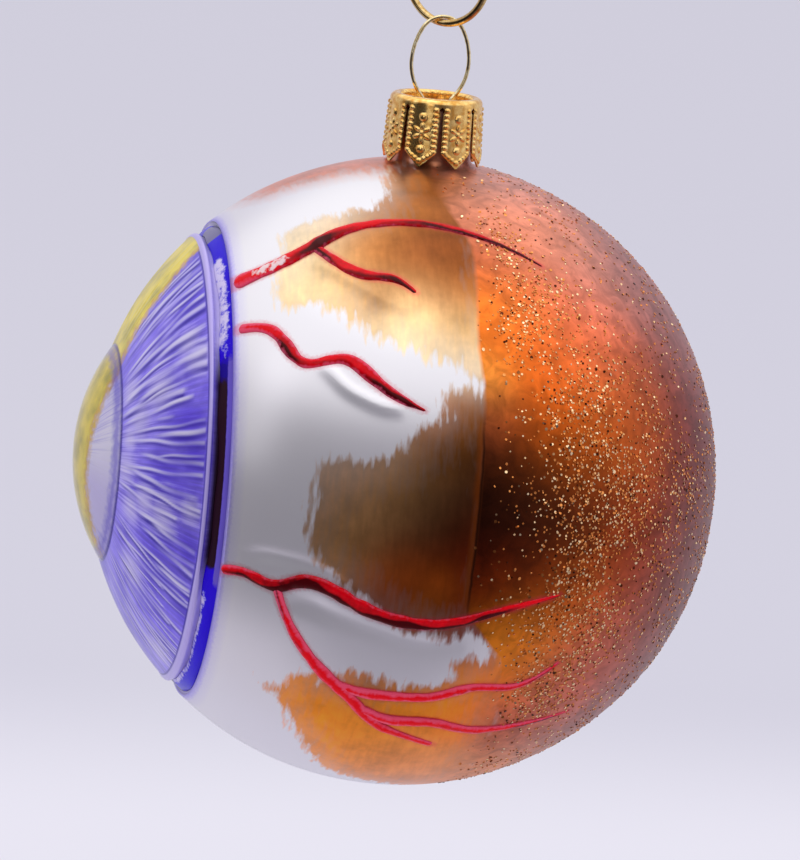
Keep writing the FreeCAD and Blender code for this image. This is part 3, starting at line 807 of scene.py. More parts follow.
@dataclass(frozen=True)
class IrisPaint:
    """Brush-painted enamel on the silvered front: violet ground with light and dark strokes.

    The strokes stand up a little, so each catches its own small highlight. The pale spots and the
    whiter top of the dome are partly painted highlights. The hairs of the brush are drawn a little
    coarser than real ones, so that they show.
    """

    ground: str = "#9A88FC"
    deep: str = "#5A40DC"
    light: str = "#E6E0FE"
    dark: str = "#3018A0"
    ridge: str = "#C2B4F6"
    pale: str = "#E4DCF8"
    milk: str = "#FFFCFF"
    yellow: str = "#F8E24C"
    ochre: str = "#D08A48"
    olive: str = "#B4A840"
    line: str = "#3A2A96"
    hair: float = 0.4  # mm, spacing of the brush's hairs midway across the iris
    hair_circle: float = 21.0  # mm, radius of the iris midway across, where that spacing holds
    cloud: float = 4.0  # mm, size of the deeper places of the ground
    dab: float = 0.9  # mm, size of the dabs at the yellow's edge

    def material(self) -> bpy.types.Material:
        """Build the material.

        Returns:
            The material.
        """
        mix = Recipe("painted_iris")
        place = mix.add("TexCoord").outputs["Object"]
        clouds = mix.add("TexNoise", Vector=place, Scale=PER_METRE / self.cloud, Detail=4.0)
        fine = mix.add("TexNoise", Vector=place, Scale=PER_METRE / self.dab, Detail=3.0)
        spoke = mix.add("VectorMath", place, (0.0, 0.0, -BALL.centre[2] * MM), operation="ADD")
        spoke = mix.add("VectorMath", spoke, (0.0, 1.0, 1.0), operation="MULTIPLY")
        spoke = mix.add("VectorMath", spoke, operation="NORMALIZE")
        spoke = mix.add("VectorMath", place, (4.0, 0.0, 0.0), spoke, operation="MULTIPLY_ADD")
        hairs = mix.add("TexNoise", Vector=spoke, Scale=self.hair_circle / self.hair, Detail=4.0,
                        Roughness=0.6)
        masks = {name: mix.add("Attribute", attribute_name=name).outputs["Fac"] for name in (
            "deep", "pale", "dome", "dark_stroke", "light_stroke", "groove", "ridge", "yellow", "crease")}
        groove_tint = mix.add("Attribute", attribute_name="groove_tint").outputs["Color"]
        wisps = mix.add("Math", hairs, 1.6, -0.8, operation="MULTIPLY_ADD")
        wisps = mix.add("Math", wisps, masks["pale"], operation="ADD")
        ragged = mix.add("Math", fine, 3.2, -1.6, operation="MULTIPLY_ADD")
        frayed = mix.add("Math", ragged, masks["yellow"], operation="ADD")
        second = mix.add("Math", masks["crease"], 0.9, operation="ADD")
        second = mix.add("Math", ragged, 0.5, second, operation="MULTIPLY_ADD")
        lines = [mix.add("MapRange", mix.add("Math", off, operation="ABSOLUTE"), *fade, 0.0)
                 for off, *fade in ((masks["crease"], 0.08, 0.4, 0.75), (second, 0.2, 1.2, 0.6))]

        # On the dome the pale goes over to milk towards the top, a painted highlight; the pale spots of the
        # iris are partly painted highlights too.
        white = mix.add("Mix", data_type="RGBA", Factor=mix.add("MapRange", masks["dome"], 0.5, 1.0),
                        A=linear(self.pale), B=linear(self.milk))
        gold: object = linear(self.yellow)
        for fade, shade in (((clouds, 0.42, 0.66, 0.0, 0.8), self.olive),
                            ((frayed, 0.2, 1.3, 0.6, 0.0), self.ochre)):
            cover = mix.add("MapRange", *fade)
            gold = mix.add("Mix", data_type="RGBA", Factor=cover, A=gold, B=linear(shade))
        colour: object = linear(self.ground)
        for cover in (mix.add("MapRange", clouds, 0.4, 0.65, 0.0, 0.6), masks["deep"]):
            colour = mix.add("Mix", data_type="RGBA", Factor=cover, A=colour, B=linear(self.deep))
        comb = mix.add("MapRange", hairs, 0.36, 0.64, 0.84, 1.16)
        colour = mix.add("VectorMath", colour, comb, operation="MULTIPLY")
        for cover, shade in (
                (mix.add("MapRange", wisps, 0.25, 1.15, 0.0, 0.85), white),
                (masks["dark_stroke"], linear(self.dark)), (masks["light_stroke"], linear(self.light)),
                (masks["groove"], groove_tint), (masks["ridge"], linear(self.ridge)),
                (mix.add("MapRange", frayed, -0.9, 0.5), gold), (lines[0], linear(self.line)),
                (lines[1], linear(self.deep))):
            colour = mix.add("Mix", data_type="RGBA", Factor=cover, A=colour, B=shade)
        calm = mix.add("MapRange", masks["dome"], 0.1, 0.5, 1.0, 0.0)
        height = mix.add("Math", hairs, calm, fine, operation="MULTIPLY_ADD")
        bump = mix.add("Bump", Strength=0.35, Distance=0.05 * MM, Height=height)
        metal = mix.add("Math", calm, 0.3, operation="MULTIPLY")
        return mix.finish(mix.add(
            "BsdfPrincipled", Base_Color=colour, Metallic=metal, Roughness=0.3, Coat_Weight=0.2,
            Coat_Roughness=0.1, Specular_IOR_Level=0.3, Normal=bump))


@dataclass(frozen=True)
class ClearGlaze:
    """Clear gloss glaze poured over the painted dome: water-clear with sharp reflections.

    Such a resin has an IOR of 1.5. Here it is lower, because the lens is bedded in the paint and
    nothing but the paint shows through it, and a thin coat gives back the gloss.
    """

    tint: str = "#FBFAFF"
    wave: float = 4.0  # mm, size of the slight waves that the pour leaves

    def material(self) -> bpy.types.Material:
        """Build the material.

        Returns:
            The material.
        """
        mix = Recipe("clear_glaze")
        place = mix.add("TexCoord").outputs["Object"]
        waves = mix.add("TexNoise", Vector=place, Scale=PER_METRE / self.wave, Detail=1.0)
        bump = mix.add("Bump", Strength=0.1, Distance=0.05 * MM, Height=waves)
        return mix.finish(mix.add(
            "BsdfPrincipled", Base_Color=linear(self.tint), Roughness=0.0, IOR=1.2,
            Transmission_Weight=1.0, Coat_Weight=0.15, Coat_Roughness=0.04, Normal=bump))


@dataclass(frozen=True)
class Enamel:
    """Gloss enamel laid on by brush, with thin places and painted shade, reflections and highlights stirred
    into it.

    Each overlay is a mask's name, its colour, the mask's values where it starts and is full, its
    most cover and how strongly the brush's streaks break it up.
    """

    name: str
    ground: str
    overlays: tuple[tuple[str, str, float, float, float, float], ...]
    stir: float
    detail: float
    fineness: float
    relief: float
    strength: float
    roughness: float
    specular: float
    streak: float = 0.9  # mm, size of the streaks that the brush leaves

    def material(self) -> bpy.types.Material:
        """Build the material.

        Returns:
            The material.
        """
        mix = Recipe(self.name)
        place = mix.add("TexCoord").outputs["Object"]
        clouds = mix.add("TexNoise", Vector=place, Scale=PER_METRE / self.streak, Detail=self.detail,
                         Roughness=self.fineness)
        stir = mix.add("Math", clouds, self.stir, -self.stir / 2, operation="MULTIPLY_ADD")
        colour: object = linear(self.ground)
        for name, shade, start, end, most, wild in self.overlays:
            cover = mix.add("Attribute", attribute_name=name).outputs["Fac"]
            cover = mix.add("Math", stir, wild, cover, operation="MULTIPLY_ADD")
            cover = mix.add("MapRange", cover, start, end, 0.0, most)
            colour = mix.add("Mix", data_type="RGBA", Factor=cover, A=colour, B=linear(shade))
        bump = mix.add("Bump", Strength=self.strength, Distance=self.relief * MM, Height=clouds)
        return mix.finish(mix.add(
            "BsdfPrincipled", Base_Color=colour, Roughness=self.roughness, IOR=1.5,
            Specular_IOR_Level=self.specular, Normal=bump))


# Thick gloss enamel run into the groove: ultramarine, painted indigo and brown-black along its
# middle stretch as the dark room's reflection, with painted highlights of lighter violet on its
# outer rim and pale lilac along part of its inner edge.
BLUE_ENAMEL = Enamel(
    "blue_enamel", "#2A04DC",
    (("indigo", "#1E0A90", 0.4, 0.75, 1.0, 0.5), ("dark_reflection", "#2C1424", 0.4, 0.75, 1.0, 0.4),
     ("rim", "#6E5CCC", 0.4, 0.75, 1.0, 0.5), ("painted_highlight", "#DCD2FA", 0.4, 0.75, 1.0, 1.1),
     ("end", "#77729E", 0.4, 0.75, 1.0, 0.1)),
    stir=1.6, detail=5.0, fineness=0.65, relief=0.04, strength=0.25, roughness=0.25, specular=0.08)
# Gloss enamel trailed on: crimson, pink where it is thin, maroon painted in as shade and dark
# reflection, and pale painted highlights near the start of some strokes.
RED_ENAMEL = Enamel(
    "red_enamel", "#EC0016",
    (("shade_and_reflection", "#480006", 0.25, 0.9, 1.0, 0.4), ("thin", "#F0587A", 0.8, 1.3, 0.8, 0.8),
     ("painted_glint", "#FBE6E8", 0.42, 0.6, 0.9, 1.0)),
    stir=1.4, detail=4.0, fineness=0.5, relief=0.05, strength=0.5, roughness=0.22, specular=0.12)


@dataclass(frozen=True)
class GiltMetal:
    """Gilt metal: brass-gold, brighter where it is rubbed, with faint drawing or pressing marks.

    A gold lacquer over bright tin scatters a part of the light, so pressed sheet may be less
    than fully metallic.
    """

    name: str
    gold: str
    deep: str
    roughness: float
    mark: float = 0.5  # mm between marks, drawn coarser than the real 0.05 mm to show
    bump: float = 0.05
    metallic: float = 1.0

    def material(self) -> bpy.types.Material:
        """Build the material.

        Returns:
            The material.
        """
        mix = Recipe(self.name)
        place = mix.add("TexCoord").outputs["Object"]
        marks = mix.add("TexNoise", Vector=place, Scale=PER_METRE / self.mark, Detail=3.0)
        cover = mix.add("MapRange", marks, 0.35, 0.65)
        colour = mix.add("Mix", data_type="RGBA", Factor=cover, A=linear(self.gold), B=linear(self.deep))
        rough = mix.add("MapRange", marks, 0.3, 0.7, self.roughness * 0.7, self.roughness * 1.3)
        bump = mix.add("Bump", Strength=self.bump, Distance=0.01 * MM, Height=marks)
        return mix.finish(mix.add(
            "BsdfPrincipled", Base_Color=colour, Metallic=self.metallic, Roughness=rough, Normal=bump))


# ---- The ball ------------------------------------------------------------------------------------

@dataclass
class PearlBall:
    """White and rear of the ball with its neck: a thin closed shell, open at the neck."""

    rows: int = 188
    columns: int = 436
    inner_rows: int = 50
    inner_columns: int = 120
    neck_sides: int = 96
    neck_fillet: float = 1.0
    hole_margin: float = 1.3

    def shell(self, stock: MeshStock, rows: int, columns: int, hole: float,
              reach: Callable[[np.ndarray], np.ndarray], inward: bool) -> tuple[np.ndarray, np.ndarray]:
        """Add one surface of the ball from the groove's lip to the back, with a round hole at the top.

        Args:
            stock: Where its vertices and faces go.
            rows: Number of rows from lip to back.
            columns: Number of columns about the eye's axis.
            hole: Radius of the hole about the neck's axis.
            reach: Distance from the middle for unit vectors.
            inward: Whether its faces look inwards.

        Returns:
            Vertex numbers of the lip and of the round hole.
        """
        ways = direction(np.linspace(BALL.lip_angle, 180, rows)[:-1, None], even_turn(columns)[None])
        places = BALL.centre + ways * reach(ways.reshape(-1, 3)).reshape(*ways.shape[:2], 1)
        gone = (np.hypot(places[..., 0], places[..., 1]) < hole + self.hole_margin) & (ways[..., 2] > 0)
        ids = np.full(gone.shape, -1)
        ids[~gone] = stock.points(places[~gone])
        after = np.roll(ids, -1, axis=1)
        kept = np.stack([ids[:-1], after[:-1], after[1:], ids[1:]], axis=-1)
        kept = kept[(kept >= 0).all(axis=-1)][:, ::-1 if inward else 1].tolist()
        stock.faces.extend(map(tuple, kept))
        stock.fan(ids[-1], BALL.centre + [reach(np.array([[1.0, 0, 0]]))[0], 0, 0], flip=inward)

        # The cells left out leave a stepped edge. Triangles fill the space between it and the round hole.
        uses = Counter(tuple(sorted(pair)) for face in kept for pair in zip(face, face[1:] + face[:1]))
        rims = {*ids[0].tolist(), *ids[-1].tolist()}
        border = [pair for pair, count in uses.items() if count == 1 and not rims.issuperset(pair)]
        loop = sorted({corner for pair in border for corner in pair})
        order = {vertex: number for number, vertex in enumerate(loop)}
        ring = hole * circle(self.neck_sides)
        height = BALL.centre[2] + np.sqrt(reach(np.array([[0, 0, 1.0]])) ** 2 - hole ** 2)
        ring_ids = stock.points(np.column_stack([ring, np.repeat(height, len(ring))]))
        flat = [Vector(point[:2]) for point in (*stock.array()[loop], *ring)]
        lines = [(order[a], order[b]) for a, b in border]
        lines += [(len(loop) + n, len(loop) + (n + 1) % len(ring)) for n in range(len(ring))]
        found, _, triangles, origin, _, _ = delaunay_2d_cdt(flat, lines, [], 1, 1e-5)
        names = loop + ring_ids.tolist()
        for face in triangles:
            middle = sum((found[corner] for corner in face), Vector((0.0, 0.0))) / 3
            if middle.length >= hole * math.cos(math.pi / self.neck_sides):
                picked = tuple(names[origin[corner][0]] for corner in face)
                stock.faces.append(picked[::-1] if inward else picked)
        return ids[0], ring_ids

    def build(self, finish: bpy.types.Material) -> bpy.types.Object:
        """Build the shell and its paint masks.

        Args:
            finish: Material of lacquered glass.

        Returns:
            The piece.
        """
        stock = MeshStock()
        root = BALL.neck_radius + self.neck_fillet
        lip, outer_ring = self.shell(stock, self.rows, self.columns, root, PAINT.reach, False)
        inner_lip, inner_ring = self.shell(
            stock, self.inner_rows, self.inner_columns, BALL.neck_bore,
            lambda ways: np.full(len(ways), BALL.radius - BALL.wall), True)
        stock.zip_rings(lip, inner_lip, flip=True)
        foot = BALL.centre[2] + math.sqrt(BALL.radius ** 2 - root ** 2)
        wall, bore, mouth = BALL.neck_radius, BALL.neck_bore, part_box("glass_bulb")[1].z / MM
        profile = ((wall + 0.55, foot + 0.22), (wall + 0.22, foot + 0.55), (wall + 0.04, foot + 1.0),
                   (wall, foot + 1.6), (wall, mouth - 0.25), (wall - 0.1, mouth - 0.06), (wall - 0.25, mouth),
                   (bore + 0.25, mouth), (bore + 0.06, mouth - 0.1), (bore, mouth - 0.3))
        neck = stock.points(np.array([
            np.column_stack([radius * circle(self.neck_sides), np.full(self.neck_sides, z)])
            for radius, z in profile]))
        stock.grid(np.concatenate([outer_ring[None], neck, inner_ring[None]])[::-1])

        ways = stock.ways()
        theta, phi = angles(ways)
        about = np.abs(phi)
        # The rear coat's edge is sharp at the sides and blown thin above and below.
        softness = np.interp(about, [0, 14, 26, 112, 124, 180], [5.0, 4.0, 1.0, 1.0, 7.0, 8.0])
        masks = {
            "tint": PAINT.tint(ways, PAINT.patch_sprays, (1,)),
            "coat_tint": PAINT.tint(ways, PAINT.coat_sprays, (1, -1)),
            "patch": np.max([depth_inside(ways, line) for line in PAINT.amber_patches], axis=0),
            "rose": depth_inside(ways, PAINT.rose_wash),
            "coat": PAINT.coat_depth(ways) / softness,
            "seam": smoothstep(66, 76, about) * smoothstep(108, 98, about),
            "wash": PAINT.vein_distance(ways),
            "halo": BALL.arc_length(theta - BALL.lip_angle)}
        return make_piece("pearl_ball", stock, Body.BULB, finish, "glass_bulb", masks)


@dataclass
class PaintedIris:
    """Moulded front of the ball: groove, pale ridge, brush-stroked iris and painted dome.

    Haze, which is partly painted highlight, is white and pools are deep violet, both in soft spots
    given as (theta, phi, reach in millimetres) and repeated on the far side.
    """

    columns: int = 1000
    inner_columns: int = 160
    inner_rows: int = 24
    stroke_height: float = 0.05
    ridge_height: float = 0.14
    ridge_spread: float = 0.55
    bed: float = 0.15
    seed: int = 11
    haze_and_highlights: Rows = (
        (41.5, 51, 2.6), (31.6, 57, 3.2), (26, 66, 3), (34, 98, 3.2), (23, 72, 2.2), (22, 86, 3),
        (39.2, 45, 2.4), (29, 96, 3), (41, 94, 2), (25, 102, 2.6), (23, 50, 2.4), (28, 128, 3), (40, 150, 3))
    pools: Rows = (
        (38.4, 70.5, 4), (34, 84, 4), (35, 108, 4), (43, 122, 4), (41, 32, 3.5), (44, 18, 3.5),
        (37, 116, 3.5), (41, 79, 3), (42, 104, 3))

    def profile(self, theta: np.ndarray) -> np.ndarray:
        """Distance of the painted surface from the middle of the ball, before the strokes.

        Args:
            theta: Angles from the eye's axis.

        Returns:
            Distances, one for each angle.
        """
        fine = np.arange(0, 50, 0.02)
        reach = np.where(fine < BALL.crease, BALL.dome_reach(fine.clip(max=BALL.crease), BALL.glaze),
                         BALL.iris_radius)
        reach += self.ridge_height * np.exp(-((fine - BALL.ridge_angle) / self.ridge_spread) ** 2)
        groove, middle = BALL.groove
        off = np.radians(fine - BALL.groove_angle)
        low = middle * np.cos(off) - np.sqrt(np.clip(groove ** 2 - (middle * np.sin(off)) ** 2, 0, None))
        reach = np.where(np.abs(np.sin(off) * middle) < groove, np.minimum(reach, low), reach)
        kernel = np.exp(-np.linspace(-2, 2, 17) ** 2)
        smooth = np.convolve(np.pad(reach, 8, mode="edge"), kernel / kernel.sum(), mode="valid")
        return np.interp(theta, fine, smooth)

    def strokes(self, theta: np.ndarray, phi: np.ndarray) -> tuple[np.ndarray, np.ndarray, np.ndarray]:
        """Lay the brush strokes over the grid, each a light line with a dark one beside it.

        Args:
            theta: Row angles.
            phi: Column angles.

        Returns:
            Cover of the light strokes, cover of the dark ones, and their height.
        """
        dice = np.random.default_rng(self.seed)
        light, dark, height = np.zeros((3, len(theta), len(phi)))
        share = np.clip((BALL.ridge_angle - theta) / (BALL.ridge_angle - BALL.crease), 0, 1)
        turn = 0.0
        while turn < 360:
            about, side = abs((turn + 180) % 360 - 180), 1 if turn < 180 else -1
            lean = 5.0 * math.sin(math.radians(turn * 2 + 40)) * side
            outer = BALL.ridge_angle
            outer -= dice.uniform(0.5, 1.2) if dice.uniform() < 0.65 else dice.uniform(1.5, 9)
            inner = BALL.crease + (dice.uniform(0.8, 3) if dice.uniform() < 0.3 else dice.uniform(4, 16))
            bend = dice.normal() * 1.5 + lean
            waves = dice.uniform(0, 6.28, 2)
            strong = dice.uniform(0.65, 1.0)
            broad = np.interp(about, [45, 75, 110, 125], [1.9, 1.5, 1.4, 1.0])
            path = turn + bend * share ** 1.5 + 0.45 * np.sin(share * 6 + waves[0])
            path += 0.2 * np.sin(share * 15 + waves[1])
            taper = smoothstep(0, 1.2, outer - theta + 0.5) * smoothstep(inner - 2.5, inner + 2.5, theta)
            taper = (taper * (0.65 + 0.35 * np.sin(share * 9 + waves[1])))[:, None]
            gap = (phi[None] - path[:, None] + 180) % 360 - 180
            across = np.radians(gap) * np.sin(np.radians(theta))[:, None] * BALL.radius
            wide = broad * dice.uniform(0.11, 0.24) * (0.6 + 0.4 * (1 - share[:, None]))
            bright = np.exp(-np.abs(across / wide) ** 3) * taper * strong
            beside = np.exp(-np.abs((across - side * 2.1 * wide) / (wide * 1.1)) ** 3) * taper
            beside *= dice.uniform(0.55, 1.0)
            light, dark = np.maximum(light, bright), np.maximum(dark, beside)
            height += self.stroke_height * (bright - 0.6 * beside)
            turn += dice.uniform(0.9, 2.3) if 112 < about < 160 else dice.uniform(1.6, 4.4)
        return light, dark * (1 - light), height

    def masks(self, stock: MeshStock, light: np.ndarray, dark: np.ndarray) -> dict[str, np.ndarray]:
        """Work out the paint masks.

        Args:
            stock: The vertices, of which the first are the grid of the painted side.
            light: Cover of the light strokes over that grid.
            dark: Cover of the dark strokes over it.

        Returns:
            Values or colours at the vertices, by name.
        """
        ways, near = stock.ways(), stock.array()[:, 1]
        at, phi = angles(ways)
        about = np.abs(phi)
        covers = [np.max([np.exp(-(away_from(ways, theta, side) / reach) ** 2)
                          for theta, spot, reach in spots for side in (spot, -spot)], axis=0)
                  for spots in (self.haze_and_highlights, self.pools)]
        on_dome, on_groove = at < BALL.crease, smoothstep(BALL.ridge_angle + 0.5, BALL.ridge_angle + 0.9, at)
        off_ridge = np.abs(at - BALL.ridge_angle)
        # The ridge is painted widest at the bottom, with a dark line along each side of it.
        half = np.interp(about, [0, 40, 60, 105, 118, 180], [0.62, 0.52, 0.36, 0.36, 0.72, 0.75])
        strokes = np.zeros((2, stock.count))
        strokes[:, :light.size] = light.ravel(), dark.ravel()
        edges = 0.8 * smoothstep(half + 0.5, half + 0.25, off_ridge)
        # The groove is painted lilac-grey at its top end, pale lilac above and below as painted
        # highlights, and brown-black in the middle as a painted reflection of the dark room.
        knots, shades = zip((8, "#77729E"), (16, "#C8BEF0"), (48, "#D2C8F4"), (60, "#2C1424"),
                            (104, "#241020"), (114, "#AA9CE4"), (180, "#9484D4"))
        tones = np.array([linear(shade) for shade in shades]).T
        # Yellow lies beyond a slanting plane across the dome and the iris, and not low on the near side.
        low = np.radians(about - np.interp(at, [24, 44], [60, 105])) * np.sin(np.radians(at)) * BALL.radius
        yellow_iris = np.minimum(near + np.interp(at, [22, 36, 44], [5.5, 5.4, 4.4]), -low)
        yellow_dome = near + np.interp(phi, [0, 20, 60, 140, 180], [7.5, 6.6, 6.6, 6.2, 4])
        yellow = np.where(on_dome, yellow_dome, np.where(at < BALL.ridge_angle - 0.5, yellow_iris, -9.0))
        return {
            "light_stroke": strokes[0] * (1 - smoothstep(1.2, 0.8, off_ridge)),
            "dark_stroke": np.maximum(strokes[1], edges) * (1 - on_groove),
            # Pale covers the dome and the spots of the iris, partly as painted highlight.
            "pale": np.where(on_dome, 1.2 + 0.3 * np.sin(np.radians(phi * 3 + at * 9)), 0.85 * covers[0]),
            "deep": 0.85 * covers[1] * (at > BALL.crease),
            # The dome's mask rises to 1 on its upper side, where the milk lies as a painted highlight.
            "dome": on_dome * (0.5 + 0.5 * smoothstep(112, 72, about)),
            "groove": on_groove,
            "groove_tint": np.stack([np.interp(about, knots, tone) for tone in tones], axis=1),
            "ridge": smoothstep(half + 0.1, half - 0.1, off_ridge), "yellow": yellow,
            "crease": BALL.arc_length(at - BALL.crease)}

    def build(self, finish: bpy.types.Material) -> bpy.types.Object:
        """Build the front.

        Args:
            finish: Material of painted iris.

        Returns:
            The piece.
        """
        stock = MeshStock()
        # Rows lie closer together at the crease, the ridge and the groove.
        theta = np.concatenate([
            np.linspace(0.6, BALL.crease - 1.2, 16), np.linspace(BALL.crease - 0.9, BALL.crease + 0.9, 9),
            np.linspace(BALL.crease + 1.3, 42.9, 30), np.linspace(43.15, BALL.lip_angle, 34)])
        phi, axis = even_turn(self.columns), np.zeros(1)
        light, dark, height = self.strokes(theta, phi)
        outer = stock.points(BALL.point(theta[:, None], phi, self.profile(theta)[:, None] + height))
        stock.grid(outer[:, ::-1])
        stock.fan(outer[0], BALL.point(axis, axis, self.profile(axis)), flip=True)
        theta = np.linspace(2, BALL.lip_angle, self.inner_rows)
        inner = stock.points(BALL.point(theta[:, None], even_turn(self.inner_columns),
                                        self.profile(theta)[:, None] - BALL.wall - self.bed))
        stock.grid(inner)
        stock.fan(inner[0], BALL.point(axis, axis, self.profile(axis) - BALL.wall))
        stock.zip_rings(outer[-1], inner[-1])
        return make_piece("painted_iris", stock, Body.BULB, finish, "",
                          self.masks(stock, light, dark))


@dataclass
class CorneaGlaze:
    """Clear lens of glaze over the painted dome."""

    columns: int = 360
    rows: int = 40
    tip: float = 0.8
    rim_trim: float = 0.12
    gap: float = -0.03  # mm, the lens is bedded into the paint, with no air between

    def build(self, finish: bpy.types.Material) -> bpy.types.Object:
        """Build the lens.

        Args:
            finish: Material of clear glaze.

        Returns:
            The piece.
        """
        rim, foot, axis = BALL.crease_angle(0.0) - self.rim_trim, BALL.crease, np.zeros(1)
        outer = np.linspace(self.tip, rim, self.rows)
        inner = np.append(np.linspace(self.tip, foot, self.rows), rim)
        bed = np.where(inner <= foot + 1e-9, BALL.dome_reach(np.minimum(inner, foot), BALL.glaze),
                       BALL.iris_radius) + self.gap
        theta = np.concatenate([outer, inner[::-1]])
        reach = np.concatenate([BALL.dome_reach(outer, 0.0), bed[::-1]])
        stock = MeshStock()
        ids = stock.points(BALL.point(theta[:, None], even_turn(self.columns), reach[:, None]))
        stock.grid(ids[:, ::-1])
        stock.fan(ids[0], BALL.point(axis, axis, BALL.dome_reach(axis, 0.0)), flip=True)
        stock.fan(ids[-1], BALL.point(axis, axis, BALL.dome_reach(axis, BALL.glaze) + self.gap))
        return make_piece("cornea_lens", stock, Body.BULB, finish, "cornea_glaze", sharp_angle=50)


@dataclass
class LimbusBand:
    """Bead of blue enamel that fills the groove, a little uneven in width and height."""

    columns: int = 720
    sides: int = 22
    gap: float = 0.02

    def build(self, finish: bpy.types.Material) -> bpy.types.Object:
        """Build the bead.

        Args:
            finish: Material of blue enamel.

        Returns:
            The piece.
        """
        groove, middle = BALL.groove
        phi = even_turn(self.columns)
        wander = 0.06 * np.sin(np.radians(phi * 7 + 20)) + 0.05 * np.sin(np.radians(phi * 17))
        half = BALL.band_width / 2 + wander
        share = np.linspace(-1, 1, self.sides)[:, None]
        off = BALL.groove_angle + np.degrees(np.arctan2(half * share, BALL.radius))
        seat = middle - np.sqrt((groove - self.gap) ** 2 - (half * share) ** 2)
        crown = seat[0] + (BALL.radius - BALL.band_drop + 0.12 * wander - seat[0]) * (1 - share ** 2) ** 0.8
        stock = MeshStock()
        ids = stock.points(BALL.point(np.concatenate([off, off[-2:0:-1]]), phi,
                                      np.concatenate([crown, seat[-2:0:-1]])))
        stock.grid(np.concatenate([ids, ids[:1]])[:, ::-1])
        at, about = np.abs(angles(stock.ways()))
        zone = smoothstep(47, 60, about) * smoothstep(110, 104, about)
        highlight_top = smoothstep(48.6, 46.6, at) * smoothstep(12, 24, about) * smoothstep(60, 44, about)
        # The middle stretch is painted indigo and brown-black as the dark room's reflection; the outer rim is
        # painted lighter violet, and the inner edge pale lilac above and below, as painted highlights.
        masks = {
            "indigo": zone * smoothstep(48.4, 48.0, at),
            "dark_reflection": zone * smoothstep(47.6, 46.9, at) * smoothstep(54, 64, about) * 1.1,
            "rim": smoothstep(46.9, 47.5, at) * smoothstep(46, 60, about) * smoothstep(114, 108, about),
            "painted_highlight": 0.8 * highlight_top + 0.66 * smoothstep(46.9, 45.7, at) * smoothstep(110, 116, about),
            "end": smoothstep(9, 6, about) + smoothstep(166, 171, about)}
        return make_piece("blue_band", stock, Body.BULB, finish, "limbus_band", masks)


# ---- Raised veins --------------------------------------------------------------------------------

@dataclass(frozen=True)
class Vein:
    """One raised stroke: its line on the ball, its widths in mm and how dark it lies along it.

    Its glint value paints a pale highlight on its middle a few millimetres from its start, a sheer
    stroke is thin all along, and a faint one is thin where it starts.
    """

    line: Rows
    widths: tuple[float, ...]
    darks: tuple[float, ...] = (0.1, 0.2)
    painted_glint: float = 0.0
    sheer: float = 0.0
    faint: float = 0.4


